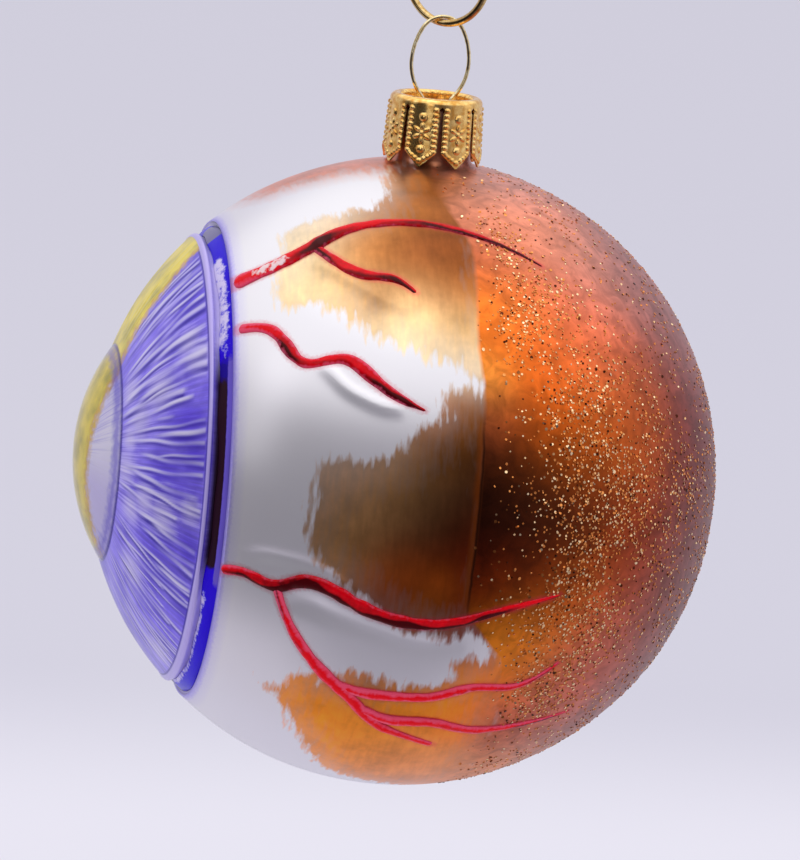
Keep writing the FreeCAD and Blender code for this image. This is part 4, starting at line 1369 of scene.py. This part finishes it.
VEINS: dict[str, Vein] = {
    "upper_vein": Vein(
        ((49.5, 34), (56.5, 34), (65, 31.5), (70, 29.3), (80, 28.7), (90.5, 30.8), (98, 33.3), (106, 36.5)),
        (2.3, 2.1, 2.1, 1.4, 1.2, 1, 0.7, 0.3), (0.1, 0.2, 0.8, 0.25, 0.5, 0.7, 1, 1), painted_glint=0.95, faint=0.6),
    "middle_vein": Vein(
        ((50, 47.8), (56.5, 50.5), (59.8, 55.8), (62.5, 58.9), (69.5, 58.8), (74, 62.1), (79, 66.2),
        (83.8, 68.5)), (1.3, 1.4, 1.6, 1.2, 1.4, 1.6, 1.3, 0.3), (0, 0.1, 1, 0.3, 0.45, 0.6, 0.9, 1.1),
        sheer=0.3, faint=0.7),
    "lower_vein": Vein(
        ((49, 105.4), (54, 104), (60, 104.6), (64.5, 102.2), (70, 102.6), (75.5, 104.8), (82.5, 106.5),
        (90, 106.3), (100, 103.5), (111, 101)), (1.2, 1.5, 1.7, 1.7, 1.9, 1.7, 1.3, 1.1, 0.8, 0.4), (0.4, 0.9,
        1.6, 0.8, 0.9, 0.9, 0.8, 1, 0.3, 0.7)),
    "far_upper_vein": Vein(
        ((49.5, -38), (57, -36), (66, -38.5), (75, -35), (84.5, -36.5), (94, -32.5), (105, -35)), (1.9, 1.6,
        1.5, 1.2, 1, 0.7, 0.4)),
    "far_middle_vein": Vein(
        ((50, -66), (56, -69.5), (62, -68), (69, -73.5), (77, -75.5), (85, -81)), (1, 1.5, 1.4, 1.5, 1.1,
        0.3)),
    "far_lower_vein": Vein(
        ((49, -103), (56, -106), (63, -103.5), (71.5, -107.5), (80.5, -105), (90.5, -108.5), (101, -106),
        (111, -109)), (1.3, 1.6, 1.8, 1.7, 1.4, 1.1, 0.8, 0.4)),
    "upper_vein_branch": Vein(
        ((65, 31.5), (69, 37.4), (74, 41.5), (78.5, 42.8), (82.3, 46)), (1.3, 1.4, 1.5, 1.2, 0.5), (1.1, 0.6,
        0.55, 0.6, 0.9)),
    "lower_vein_branch": Vein(
        ((60, 104.6), (62, 109.5), (66.2, 116.1), (71.5, 121.4), (77, 126), (81.5, 130.8), (87, 133.6),
        (93, 136.4)), (1.3, 1.2, 1.5, 2, 1.8, 1.5, 1.2, 0.9), (0.9, 0.4, 0.15, 0.15, 0.2, 0.3), sheer=0.5),
    "far_upper_vein_branch": Vein(
        ((66, -38.5), (70.5, -45), (77, -48.5), (84, -54)), (1.1, 1.2, 1, 0.4), (0.5, 0.2)),
    "far_lower_vein_branch": Vein(
        ((63, -103.5), (67, -111), (72, -118), (79, -125), (87, -129), (96, -134)), (1.1, 1.3, 1.5, 1.4, 1,
        0.5), (0.5, 0.2)),
    "lower_vein_upper_twig": Vein(
        ((73, 122.8), (78.3, 123.4), (85.3, 122.9), (90.6, 122.3), (97.3, 120), (105, 120.6), (113.5, 116.5)),
        (1.6, 1.7, 1.5, 1.5, 1.2, 0.9, 0.4), (0.1, 0.15, 0.1, 0.5, 0.3, 0.8), sheer=0.55),
    "lower_vein_lower_twig": Vein(
        ((78.5, 127.5), (84, 129.4), (91.5, 129.2), (98, 131.5), (105, 132.4), (119, 133.6)), (1.7, 1.8, 1.6,
        1.3, 0.9, 0.3), (0.1, 0.15, 0.3, 0.6, 0.9), sheer=0.55),
    "far_lower_vein_twig": Vein(
        ((74.5, -120.5), (81.5, -119), (90, -121), (99, -118), (108, -120)), (0.9, 1, 0.9, 0.7, 0.4), (0.2,
        0.2)),
}


@dataclass
class VeinWork:
    """Trails each vein of enamel on the ball."""

    step: float = 0.22
    crown: float = 0.46
    sink: float = 0.04
    bed: float = 0.01
    across: int = 13
    waver_step: float = 1.3
    lump_step: float = 0.9
    seed: int = 5

    def trail(self, name: str, vein: Vein, finish: bpy.types.Material) -> bpy.types.Object:
        """Build one vein.

        Args:
            name: Its CAD node.
            vein: Its line and widths.
            finish: Material of red enamel.

        Returns:
            The piece.
        """
        dice = np.random.default_rng(self.seed + len(name))
        length = run_along(smooth_line(vein.line, 200))[-1]
        spine = smooth_line(vein.line, int(length / self.step))
        run = np.linspace(0, length, len(spine))
        share = np.linspace(-1, 1, self.across)

        def uneven(step: float, low: float, high: float) -> np.ndarray:
            """Random values along the vein that run smoothly between steps of a length."""
            knots = np.arange(0, length + 3, step)
            return np.interp(run, knots, dice.uniform(low, high, len(knots)))

        half = np.interp(run, np.linspace(0, length, len(vein.widths)), vein.widths) / 2
        half *= 1 + uneven(self.waver_step, -0.12, 0.12)
        from_end = np.minimum(run / half[0], (length - run) / max(half[-1], 0.12))
        half *= np.sqrt(np.clip(1 - (1 - np.clip(from_end, 0, 1)) ** 2, 0.02, 1))
        aside = unit(np.cross(unit(spine), np.gradient(spine, axis=0)))
        foot = unit(spine[:, None] + aside[:, None] * (half[:, None] * share)[..., None])
        ground = PAINT.reach(foot.reshape(-1, 3)).reshape(foot.shape[:2])
        body = self.crown * np.minimum(half, 0.7 + 0.25 * half) * uneven(self.lump_step, 0.8, 1.2)
        rise = body[:, None] * np.sqrt(np.clip(1 - share ** 2, 0, 1)) ** 0.9 - self.bed
        top = BALL.centre + foot * (ground + rise)[..., None]
        under = BALL.centre + foot[:, 1:-1:3] * (ground[:, 1:-1:3] - self.sink)[..., None]
        rows = np.concatenate([top, under[:, ::-1]], axis=1)
        stock = MeshStock()
        ids = stock.points(rows)
        stock.grid(ids)
        stock.fan(ids[0], rows[0].mean(axis=0))
        stock.fan(ids[-1], rows[-1].mean(axis=0), flip=True)

        hidden = np.zeros(rows.shape[1] - self.across)
        lie, run = np.append(share, hidden), run[:, None]
        thin = np.append(np.abs(share), hidden + 1) + (vein.sheer + vein.faint * smoothstep(7, 0, run))
        thin += 0.12 * dice.uniform(-1, 1, run.shape)
        dark = np.interp(run, np.linspace(0, length, len(vein.darks)), vein.darks)
        # Maroon is painted shade and dark reflection, heavier where the darks run high and along one side of
        # the stroke; the glint is a painted highlight.
        side = 1 if vein.line[0][1] > 0 else -1
        sway = 0.35 * np.sin(run * 0.5 + self.seed) + 0.15 * np.sin(run * 1.4)
        shade_and_reflection = dark * (1 - 0.4 * lie ** 4) * (0.55 + 0.9 * smoothstep(0.25, -0.45, side * lie + sway))
        painted_glint = 0.7 * vein.painted_glint * smoothstep(1.5, 3.5, run) * smoothstep(9.5, 6.5, run) * (1 - lie ** 2)
        masks = {label: np.append(values.ravel(), [end, end]) for label, values, end in (
            ("thin", thin, 1.0), ("shade_and_reflection", shade_and_reflection, 0.1), ("painted_glint", painted_glint, 0.0))}
        return make_piece(name + "_enamel", stock, Body.BULB, finish, name, masks)

    def build(self, finish: bpy.types.Material) -> None:
        """Build every vein."""
        for name, vein in VEINS.items():
            self.trail(name, vein, finish)


@dataclass
class Glitter:
    """Six-sided flakes of one colour scattered on the rear coat, each lying at its own tilt.

    A drift is a place where they lie thick, as (theta, phi, reach in millimetres, thickness).
    """

    name: str
    count: int
    seed: int
    thickness: float = 0.05
    lift: float = 0.03
    tilt: float = 0.22
    sparse: float = 0.15
    neck_clearance: float = 7.5
    drifts: Rows = (
        (115, 78, 5, 1.2), (118, 84, 5, 0.9), (121, 92, 6, 0.7), (116, 104, 6, 1.1), (111, 114, 6, 1.2),
        (112, 126, 5, 1), (103, 42, 4, 0.7), (105, 48, 4, 0.6), (100, 52, 4, 0.8), (112, 54, 4, 0.4),
        (113, 65, 5, 0.8), (118, 68, 5, 0.5), (99, 33, 4, 0.5), (124, 62, 6, 0.3), (134, 68, 9, 0.3),
        (143, 98, 9, 0.25), (131, 90, 8, 0.3), (109, 86, 5, 0.3))

    def build(self, finish: bpy.types.Material) -> bpy.types.Object:
        """Build all the flakes as one piece.

        Args:
            finish: Material of the glitter.

        Returns:
            The piece.
        """
        dice = np.random.default_rng(self.seed)
        ways = unit(dice.normal(size=(self.count * 8, 3)))
        chance = np.full(len(ways), self.sparse)
        for theta, phi, reach, more in self.drifts:
            for side in (phi, -phi):
                chance += more * np.exp(-(away_from(ways, theta, side) / reach) ** 2)
        patch = np.sin(14 * ways[:, 0] + 3) * np.sin(11 * ways[:, 1] + 1) * np.sin(13 * ways[:, 2])
        chance *= (0.8 + 0.6 * patch) * smoothstep(-1, 5, PAINT.coat_depth(ways))
        clear = np.hypot(ways[:, 0], ways[:, 1]) * BALL.radius > self.neck_clearance
        ways = ways[(dice.uniform(size=len(ways)) < chance) & (clear | (ways[:, 2] < 0))][:self.count]
        rows = []
        for way, reach in zip(ways, PAINT.reach(ways)):
            up = unit(way + dice.normal(size=3) * self.tilt)
            side = unit(np.cross(up, dice.normal(size=3)))
            size = dice.uniform(0.09, 0.17) + dice.uniform(0, 0.08) * (dice.uniform() < 0.2)
            ring = size * circle(6) @ np.stack([side, np.cross(up, side)])
            ring += BALL.centre + way * (reach + self.lift)
            rows.append([ring - up * self.thickness / 2, ring + up * self.thickness / 2])
        stock = MeshStock()
        low, high = np.moveaxis(stock.points(np.array(rows)), 1, 0)
        stock.quads(low, np.roll(low, -1, axis=1), np.roll(high, -1, axis=1), high)
        stock.faces.extend(map(tuple, np.concatenate([high, low[:, ::-1]]).tolist()))
        piece = make_piece(self.name, stock, Body.BULB, finish)
        piece.data.polygons.foreach_set("use_smooth", np.zeros(len(piece.data.polygons), bool))
        return piece


# ---- Cap, clip and ring ------------------------------------------------------------------------

@dataclass
class CrownCap:
    """Pressed gilt cap: sunk floor, beaded recess, rolled rim and eight beaded petals.

    A bead of the flower is its place across, its depth below the rim, half its length and width,
    its tilt and its rise. It is repeated on the other side of the petal.
    """

    sheet: float = 0.25
    height: float = 8.5
    top_radius: float = 5.85
    foot_radius: float = 6.2
    outer_round: float = 0.8
    inner_round: float = 0.45
    recess: float = 0.95
    recess_radius: float = 4.5
    recess_bead: float = 0.22
    recess_beads: int = 36
    petals: int = 8
    petal_turn: float = -91.7
    petal_columns: int = 44
    point_height: float = 1.8
    point_flat: float = 0.25
    gap_width: float = 0.3
    gap_foot: float = 0.6
    gap_top: float = 1.35
    hole_radius: float = 0.35
    bead_pitch: float = 0.66
    bead_rise: float = 0.19
    slot_inner: float = 3.0
    slot_outer: float = 4.25
    slot_half: float = 0.4
    flower: Rows = (
        (0, 2.3, 0.5, 0.5, 0, 0.24), (0, 3.45, 0.24, 0.42, 0, 0.17), (0, 4.3, 0.3, 0.3, 0, 0.2),
        (0, 5.2, 0.22, 0.42, 0, 0.17), (0, 6.3, 0.5, 0.44, 0, 0.24),
        (0.62, 3.85, 0.5, 0.23, 28, 0.17), (0.64, 4.75, 0.5, 0.23, -30, 0.17))

    @cached_property
    def rim(self) -> float:
        """Height of the rim, from the CAD cap."""
        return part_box("crown_cap")[1].z / MM

    @property
    def levels(self) -> tuple[float, float, float]:
        """Heights of the petals' points, of their shoulders and of the top of the gaps between them."""
        foot = self.rim - self.height
        return foot, foot + self.point_height, self.rim - self.gap_top

    def profile(self) -> np.ndarray:
        """Rows of the sheet's outer side, from the middle of the floor to the petals' points.

        Returns:
            Radius and height of each row.
        """
        floor, (end, _, gap_top) = self.rim - self.recess, self.levels
        shoulder = self.rim - self.outer_round
        flat = [(r, floor) for r in (0.05, 0.8, 1.8, 2.6, *np.linspace(self.slot_inner, self.slot_outer, 9))]
        flat += [(self.recess_radius, floor + z) for z in (0.03, 0.15, 0.3, 0.42)]
        fall = np.append(shoulder - 0.08, np.linspace(gap_top + self.hole_radius - 0.02, end, 78))
        share = (shoulder - fall) / (shoulder - end)
        skirt = self.top_radius + (self.foot_radius - self.top_radius) * share
        return np.concatenate([
            flat, arc(self.recess_radius + self.inner_round, self.rim - self.inner_round, self.inner_round,
                      168, 92, 8),
            arc(self.top_radius - self.outer_round, shoulder, self.outer_round, 90, 4, 10),
            np.column_stack([skirt, fall])])

    def gap_half(self, z: np.ndarray) -> np.ndarray:
        """Half width of the gap between petals, with the round hole at its top.

        Args:
            z: Heights to read it at.

        Returns:
            Half widths in millimetres.
        """
        foot, shoulder, top = self.levels
        half_pitch = self.foot_radius * math.pi / self.petals - self.point_flat / 2
        gap = np.interp(z, [foot, shoulder, top], [half_pitch, self.gap_foot / 2, self.gap_width / 2])
        hole = np.sqrt(np.clip(self.hole_radius ** 2 - (z - top) ** 2, 0, None))
        return np.maximum(np.where(z < top, gap, 0), hole)

    def bead_plan(self) -> list[tuple[float, ...]]:
        """Lay out the beads of one petal: two edge rows, a pointed foot, two bosses and a flower.

        Returns:
            For each bead its place across and height, half its length and width, tilt and rise.
        """
        _, shoulder, top = self.levels
        wide = self.foot_radius * math.pi / self.petals
        slope = math.degrees(math.atan2(self.point_height, wide - 0.42))
        beads: list[tuple[float, ...]] = []
        for side in (-1, 1):
            for x, drop, long, tall, tilt, rise in self.flower:
                beads.append((side * x, self.rim - drop, long, tall, side * tilt, rise))
            for z in np.arange(shoulder + 0.1, top + 0.35, self.bead_pitch):
                x = np.interp(z, [shoulder, top], [wide - 0.3, wide - 0.4]) - 0.42
                beads.append((side * x, z, 0.34, 0.28, 0, self.bead_rise))
            for share in (0.12, 0.38, 0.65, 0.94):
                beads.append((side * (wide - 0.78) * (1 - share),
                              shoulder - 0.1 - (self.point_height - 0.75) * share,
                              0.29, 0.32, side * (90 - slope) * 0.5, self.bead_rise))
        return beads

    def build(self, finish: bpy.types.Material) -> bpy.types.Object:
        """Build the cap.

        Args:
            finish: Material of pressed gilt sheet.

        Returns:
            The piece.
        """
        profile = self.profile()
        radius, height = profile.T[..., None]
        gap = np.where(height < self.levels[2] + self.hole_radius, self.gap_half(height), 0)
        edge = np.maximum(radius * math.pi / self.petals - gap, self.point_flat / 2)
        across = edge * np.linspace(-1, 1, self.petal_columns + 1)
        steps = np.diff(profile, axis=0)
        ahead = np.vstack([steps[:1], (steps[1:] + steps[:-1]) / 2, steps[-1:]])
        out, up = unit(np.column_stack([-ahead[:, 1], ahead[:, 0]])).T[..., None]

        lift = np.zeros_like(across)
        for x, z, long, tall, tilt, rise in self.bead_plan():
            c, s = math.cos(math.radians(tilt)), math.sin(math.radians(tilt))
            u = ((across - x) * c + (height - z) * s) / long
            v = (-(across - x) * s + (height - z) * c) / tall
            lift = np.maximum(lift, rise * np.sqrt(np.clip(1 - u * u - v * v, 0, None)))
        skirt = (height < self.rim - self.outer_round) & (radius > self.recess_radius + self.inner_round)
        lift *= smoothstep(0.02, 0.16, edge - np.abs(across)) * skirt

        middles = np.radians(self.petal_turn + 360 / self.petals * (np.arange(self.petals) + 0.5))
        turn = middles[:, None, None] + across / radius
        low_bead = self.rim - self.recess + 0.2
        ring_row = (radius > self.recess_radius - 0.01) & (height > low_bead)
        ring_row &= radius < self.recess_radius + self.inner_round * 0.75
        place = np.clip((height - low_bead) / (self.recess - 0.35), 0, 1)
        wave = np.clip(np.sin(turn * self.recess_beads), 0, 1) ** 0.7
        lift = lift + ring_row * self.recess_bead * wave * np.sin(place * math.pi)
        away, z = radius + out * lift, height + up * lift
        outer = np.stack([away * np.cos(turn), away * np.sin(turn), z], axis=-1)
        normal = np.broadcast_arrays(out * np.cos(turn), out * np.sin(turn), up)
        sides = np.stack([outer, outer - np.stack(normal, axis=-1) * self.sheet])

        # Petals share the vertices of their edges, so equal places become one vertex.
        flat = sides.reshape(-1, 3)
        _, first, names = np.unique(np.round(flat, 4), axis=0, return_index=True, return_inverse=True)
        stock = MeshStock()
        stock.points(flat[first])
        ids, under = names.reshape(sides.shape[:-1])
        flange = radius[:-1] < self.slot_inner - 1e-6
        flange |= radius[:-1] >= self.slot_outer - 1e-6
        kept = flange | (np.abs(outer[:, :-1, :-1, 1]) > self.slot_half)
        upper = np.stack([ids[:, :-1, :-1], ids[:, 1:, :-1], ids[:, 1:, 1:], ids[:, :-1, 1:]], -1)
        lower = np.stack([under[:, :-1, :-1], under[:, :-1, 1:], under[:, 1:, 1:], under[:, 1:, :-1]], -1)
        edges: dict[tuple[int, int], None] = {}
        for cells, rimmed in ((upper, True), (lower, False)):
            for face in cells[kept].tolist():
                ring = [corner for number, corner in enumerate(face) if corner != face[number - 1]]
                if len(ring) > 2:
                    stock.faces.append(tuple(ring))
                    if rimmed:
                        edges.update(dict.fromkeys(zip(ring, ring[1:] + ring[:1])))
        below = dict(zip(ids.ravel().tolist(), under.ravel().tolist()))
        stock.faces += [(b, a, below[a], below[b]) for a, b in edges if (b, a) not in edges]
        stock.drop_loose()
        return make_piece("gilt_cap", stock, Body.CAP, finish, "crown_cap", sharp_angle=60)


@dataclass
class HangerClip:
    """Spring-wire loop whose legs go through the cap and spread in the neck."""

    wire: float = 0.5
    loop_width: float = 7.8
    loop_waist: float = 4.1
    top_radius: float = 2.9
    lower_radius: float = 6.7
    bend_radius: float = 0.8
    leg_length: float = 18.0
    leg_end: float = 3.55
    recess: float = 0.95

    def path(self) -> np.ndarray:
        """Middle line of the wire, from one leg's end round the loop to the other's.

        Returns:
            Points along it.
        """
        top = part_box("hanger_clip")[1].z / MM - self.wire / 2
        half = (self.loop_width - self.wire) / 2
        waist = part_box("crown_cap")[1].z / MM + self.loop_waist
        lean = half ** 2 + (top - waist - self.top_radius) ** 2 - self.top_radius ** 2
        side = lean / (2 * (half - self.top_radius))
        meet = math.degrees(math.atan2(top - self.top_radius - waist, side - half))
        reach = self.lower_radius + self.bend_radius
        run = math.sqrt(1 - ((self.loop_waist + self.recess) / reach) ** 2)
        at_floor = half - self.lower_radius + reach * run - self.bend_radius
        splay = math.atan2(self.leg_end - at_floor, self.leg_length)
        fall = math.asin((self.loop_waist + self.recess - self.bend_radius * math.sin(splay)) / reach)
        bend = arc(half - self.lower_radius + reach * math.cos(fall), waist - reach * math.sin(fall),
                   self.bend_radius, 180 + math.degrees(splay), 180 - math.degrees(fall), 9)
        down = np.linspace(self.leg_length, 1.0, 12)[:, None] * [math.sin(splay), -math.cos(splay)]
        x, z = np.concatenate([
            bend[0] + down, bend,
            arc(half - self.lower_radius, waist, self.lower_radius, -math.degrees(fall), 0, 18)[1:],
            arc(half - side, waist, side, 0, meet, 18)[1:],
            arc(0, top - self.top_radius, self.top_radius, meet, 90, 22)[1:]]).T
        right = np.column_stack([x, np.zeros(len(x)), z])
        return np.concatenate([right, right[-2::-1] * [-1, 1, 1]])

    def build(self, finish: bpy.types.Material) -> bpy.types.Object:
        """Build the clip of gilt spring wire."""
        stock = tube(self.path(), self.wire / 2, 28)
        return make_piece("spring_clip", stock, Body.HANGER, finish, "hanger_clip")


@dataclass
class JumpRing:
    """Butted wire ring, with its cut ends almost touching."""

    outer_diameter: float = 12.6
    wire: float = 0.95
    turn: float = -42.0
    split: float = 0.12
    split_angle: float = 55.0

    def build(self, finish: bpy.types.Material) -> bpy.types.Object:
        """Build the ring.

        Args:
            finish: Material of polished gilt wire.

        Returns:
            The piece.
        """
        middle = (self.outer_diameter - self.wire) / 2
        gap = math.degrees(self.split / middle) / 2
        angle = np.radians(np.linspace(self.split_angle + gap, self.split_angle + 360 - gap, 220))
        across, turn = middle * np.sin(angle), math.radians(self.turn)
        path = np.column_stack([across * math.cos(turn), across * math.sin(turn),
                                middle * np.cos(angle) - (middle - self.wire / 2)])
        stock = tube(path, self.wire / 2, 40, round_ends=False)
        return make_piece("jump_ring_wire", stock, Body.RING, finish, "jump_ring",
                          sharp_angle=50)


# ---- Studio --------------------------------------------------------------------------------------

@dataclass
class Studio:
    """Pale floor, soft lights and the camera.

    A side of the room is the way it lies, the cosines where its colour starts and is full, and
    the colour. A box of light is its name, its place and size in metres and its power in watts.
    """

    azimuth: float = -10.1
    elevation: float = 10.8
    roll: float = 5.4
    distance: float = 700.0
    focal_px: float = 5495.0
    frame_px: tuple[int, int] = (800, 860)
    ball_px: tuple[float, float] = (401.5, 470.2)
    sensor: float = 36.0
    floor_z: float = -205.0
    floor_reach: float = 6000.0
    near_floor: str = "#E4E2ED"
    far_floor: str = "#D2D0DD"
    backdrop: str = "#D3D0DF"
    room: str = "#B4B0B8"
    room_power: float = 1.15
    room_sides: tuple[tuple[tuple[float, float, float], float, float, str], ...] = (
        ((0.0, 0.0, -1.0), 0.45, 0.85, "#BCB8C0"), ((0.17, 0.97, 0.0), -0.1, 0.6, "#C6C4D0"),
        ((-0.32, -0.94, -0.12), 0.45, 0.88, "#4E4A52"), ((-0.05, -0.6, -0.8), 0.78, 0.97, "#6A666E"),
        ((-0.88, -0.45, -0.17), 0.68, 0.96, "#242226"), ((0.0, 0.0, 1.0), 0.36, 0.64, "#FFFFFF"))
    softboxes: tuple[tuple[str, tuple[float, float, float], tuple[float, float], float], ...] = (
        ("top_softbox", (-0.15, -0.1, 1.1), (0.9, 0.7), 1.2),
        ("left_softbox", (-1.1, -0.45, 0.45), (0.35, 0.8), 0.5),
        ("right_softbox", (1.15, -0.25, 0.35), (0.5, 0.8), 0.5))

    def camera(self) -> None:
        """Create the camera that looks at the ball, and make it the scene's."""
        turn, lift, roll = map(math.radians, (self.azimuth, self.elevation, self.roll))
        back = Vector((math.sin(turn) * math.cos(lift), -math.cos(turn) * math.cos(lift), math.sin(lift)))
        right = Vector((math.cos(turn), math.sin(turn), 0))
        up = back.cross(right)
        off = [(ball - size / 2) / self.focal_px for ball, size in zip(self.ball_px, self.frame_px)]
        c, s = math.cos(roll), math.sin(roll)
        z_axis = (back + right * (off[0] * c + off[1] * s) + up * (off[0] * s - off[1] * c)).normalized()
        x_axis = (up * c - right * s).cross(z_axis).normalized()
        data = bpy.data.cameras.new("studio_camera")
        data.sensor_fit, data.sensor_width = "HORIZONTAL", self.sensor
        data.lens = self.focal_px / self.frame_px[0] * self.sensor
        data.clip_start, data.clip_end = 0.01, 50
        data.dof.use_dof = False
        camera = bpy.data.objects.new("studio_camera", data)
        basis = Matrix((x_axis, z_axis.cross(x_axis), z_axis)).transposed().to_4x4()
        camera.matrix_world = Matrix.Translation((Vector(BALL.centre) + back * self.distance) * MM) @ basis
        bpy.context.scene.collection.objects.link(camera)
        bpy.context.scene.camera = camera

    def floor(self) -> None:
        """Lay a large pale floor, a little darker far away, that mirrors don't see."""
        mix = Recipe("studio_floor")
        away = mix.add("SeparateXYZ", mix.add("TexCoord").outputs["Object"]).outputs["Y"]
        share = mix.add("MapRange", away, 0.33, 0.47, interpolation_type="SMOOTHSTEP")
        colour = mix.add("Mix", data_type="RGBA", Factor=share, A=linear(self.near_floor),
                         B=linear(self.far_floor))
        shader = mix.add("BsdfPrincipled", Base_Color=colour, Roughness=0.9, Specular_IOR_Level=0.0)
        reach, z = self.floor_reach * MM, self.floor_z * MM
        mesh = bpy.data.meshes.new("studio_floor")
        mesh.from_pydata([(-reach, -reach, z), (reach, -reach, z), (reach, reach, z), (-reach, reach, z)], [],
                         [(0, 1, 2, 3)])
        mesh.materials.append(mix.finish(shader))
        floor = bpy.data.objects.new("studio_floor", mesh)
        floor.visible_glossy = False
        bpy.context.scene.collection.objects.link(floor)

    def world(self) -> None:
        """Light the room softly: bright above, pale behind, dim in front and darkest low at the left."""
        mix = Recipe("studio_room", world=True)
        bpy.context.scene.world = mix.made
        way = mix.add("TexCoord").outputs["Generated"]
        colour: object = linear(self.room)
        for toward, start, end, tone in self.room_sides:
            facing = mix.add("VectorMath", way, toward, operation="DOT_PRODUCT").outputs["Value"]
            share = mix.add("MapRange", facing, start, end, interpolation_type="SMOOTHSTEP")
            colour = mix.add("Mix", data_type="RGBA", Factor=share, A=colour, B=linear(tone))
        lit = mix.add("Background", colour, self.room_power)
        plain = mix.add("Background", linear(self.backdrop), 1.0)
        mix.finish(mix.add("MixShader", mix.add("LightPath").outputs["Is Camera Ray"], lit, plain))

    def light(self, name: str, place: tuple[float, float, float], size: tuple[float, float],
              power: float) -> bpy.types.Object:
        """Hang a soft box that points at the ball.

        Args:
            name: Its name.
            place: Where it hangs, in metres from the ball.
            size: Its width and height in metres.
            power: Its power in watts.

        Returns:
            The light.
        """
        data = bpy.data.lights.new(name, "AREA")
        data.shape, data.energy = "RECTANGLE", power
        data.size, data.size_y = size
        lamp = bpy.data.objects.new(name, data)
        lamp.location = Vector(BALL.centre) * MM + Vector(place)
        lamp.rotation_euler = Vector(place).to_track_quat("Z", "Y").to_euler()
        bpy.context.scene.collection.objects.link(lamp)
        return lamp

    def glint(self, pieces: Sequence[bpy.types.Object]) -> None:
        """Hang a small card of light in front that only the ring, the clip and the cap catch.

        Args:
            pieces: The ring, the clip and the cap.
        """
        catch = bpy.data.collections.new("findings")
        for piece in pieces:
            catch.objects.link(piece)
        card = self.light("findings_card", (-0.35, -0.8, 0.25), (0.25, 0.5), 0.5)
        card.light_linking.receiver_collection = catch

    def build(self) -> None:
        """Build the whole studio."""
        self.camera()
        self.floor()
        self.world()
        for box in self.softboxes:
            self.light(*box)
        bpy.context.scene.view_settings.view_transform = "Standard"


def main() -> None:
    """Build every sub-assembly in order and report it."""
    logging.basicConfig(level=logging.INFO, format="%(name)s: %(message)s")
    studio = Studio()
    studio.build()
    # Drawn gilt wire is smooth and mirrors the room in thin bright lines. Pressed sheet is softer.
    ring_wire = GiltMetal("polished_gilt_wire", "#E2C48C", "#C09A5C", 0.1)
    spring_wire = GiltMetal("gilt_spring_wire", "#FBEDC4", "#DCC288", 0.1)
    cap_sheet = GiltMetal("pressed_gilt_sheet", "#FFD88A", "#E6A850", 0.2, 0.8, 0.08, 0.95)
    ring = JumpRing().build(ring_wire.material())
    clip = HangerClip().build(spring_wire.material())
    cap = CrownCap().build(cap_sheet.material())
    studio.glint([ring, clip, cap])
    PearlBall().build(LacqueredGlass().material())
    PaintedIris().build(IrisPaint().material())
    CorneaGlaze().build(ClearGlaze().material())
    LimbusBand().build(BLUE_ENAMEL.material())
    VeinWork().build(RED_ENAMEL.material())
    # Glitter is cut from lacquered foil: each flake is a small flat mirror that flashes by itself.
    for name, count, seed, bright, deep, roughness in (
            ("copper_glitter", 9000, 23, "#F6A45C", "#C46A30", 0.22),
            ("champagne_glitter", 4500, 41, "#FFE6BC", "#F8BC7C", 0.2),
            ("dark_glitter", 900, 57, "#6A321C", "#2A120A", 0.3)):
        Glitter(name, count, seed).build(GiltMetal(name, bright, deep, roughness, 0.6, 0.0).material())


if __name__ == "__main__":
    main()
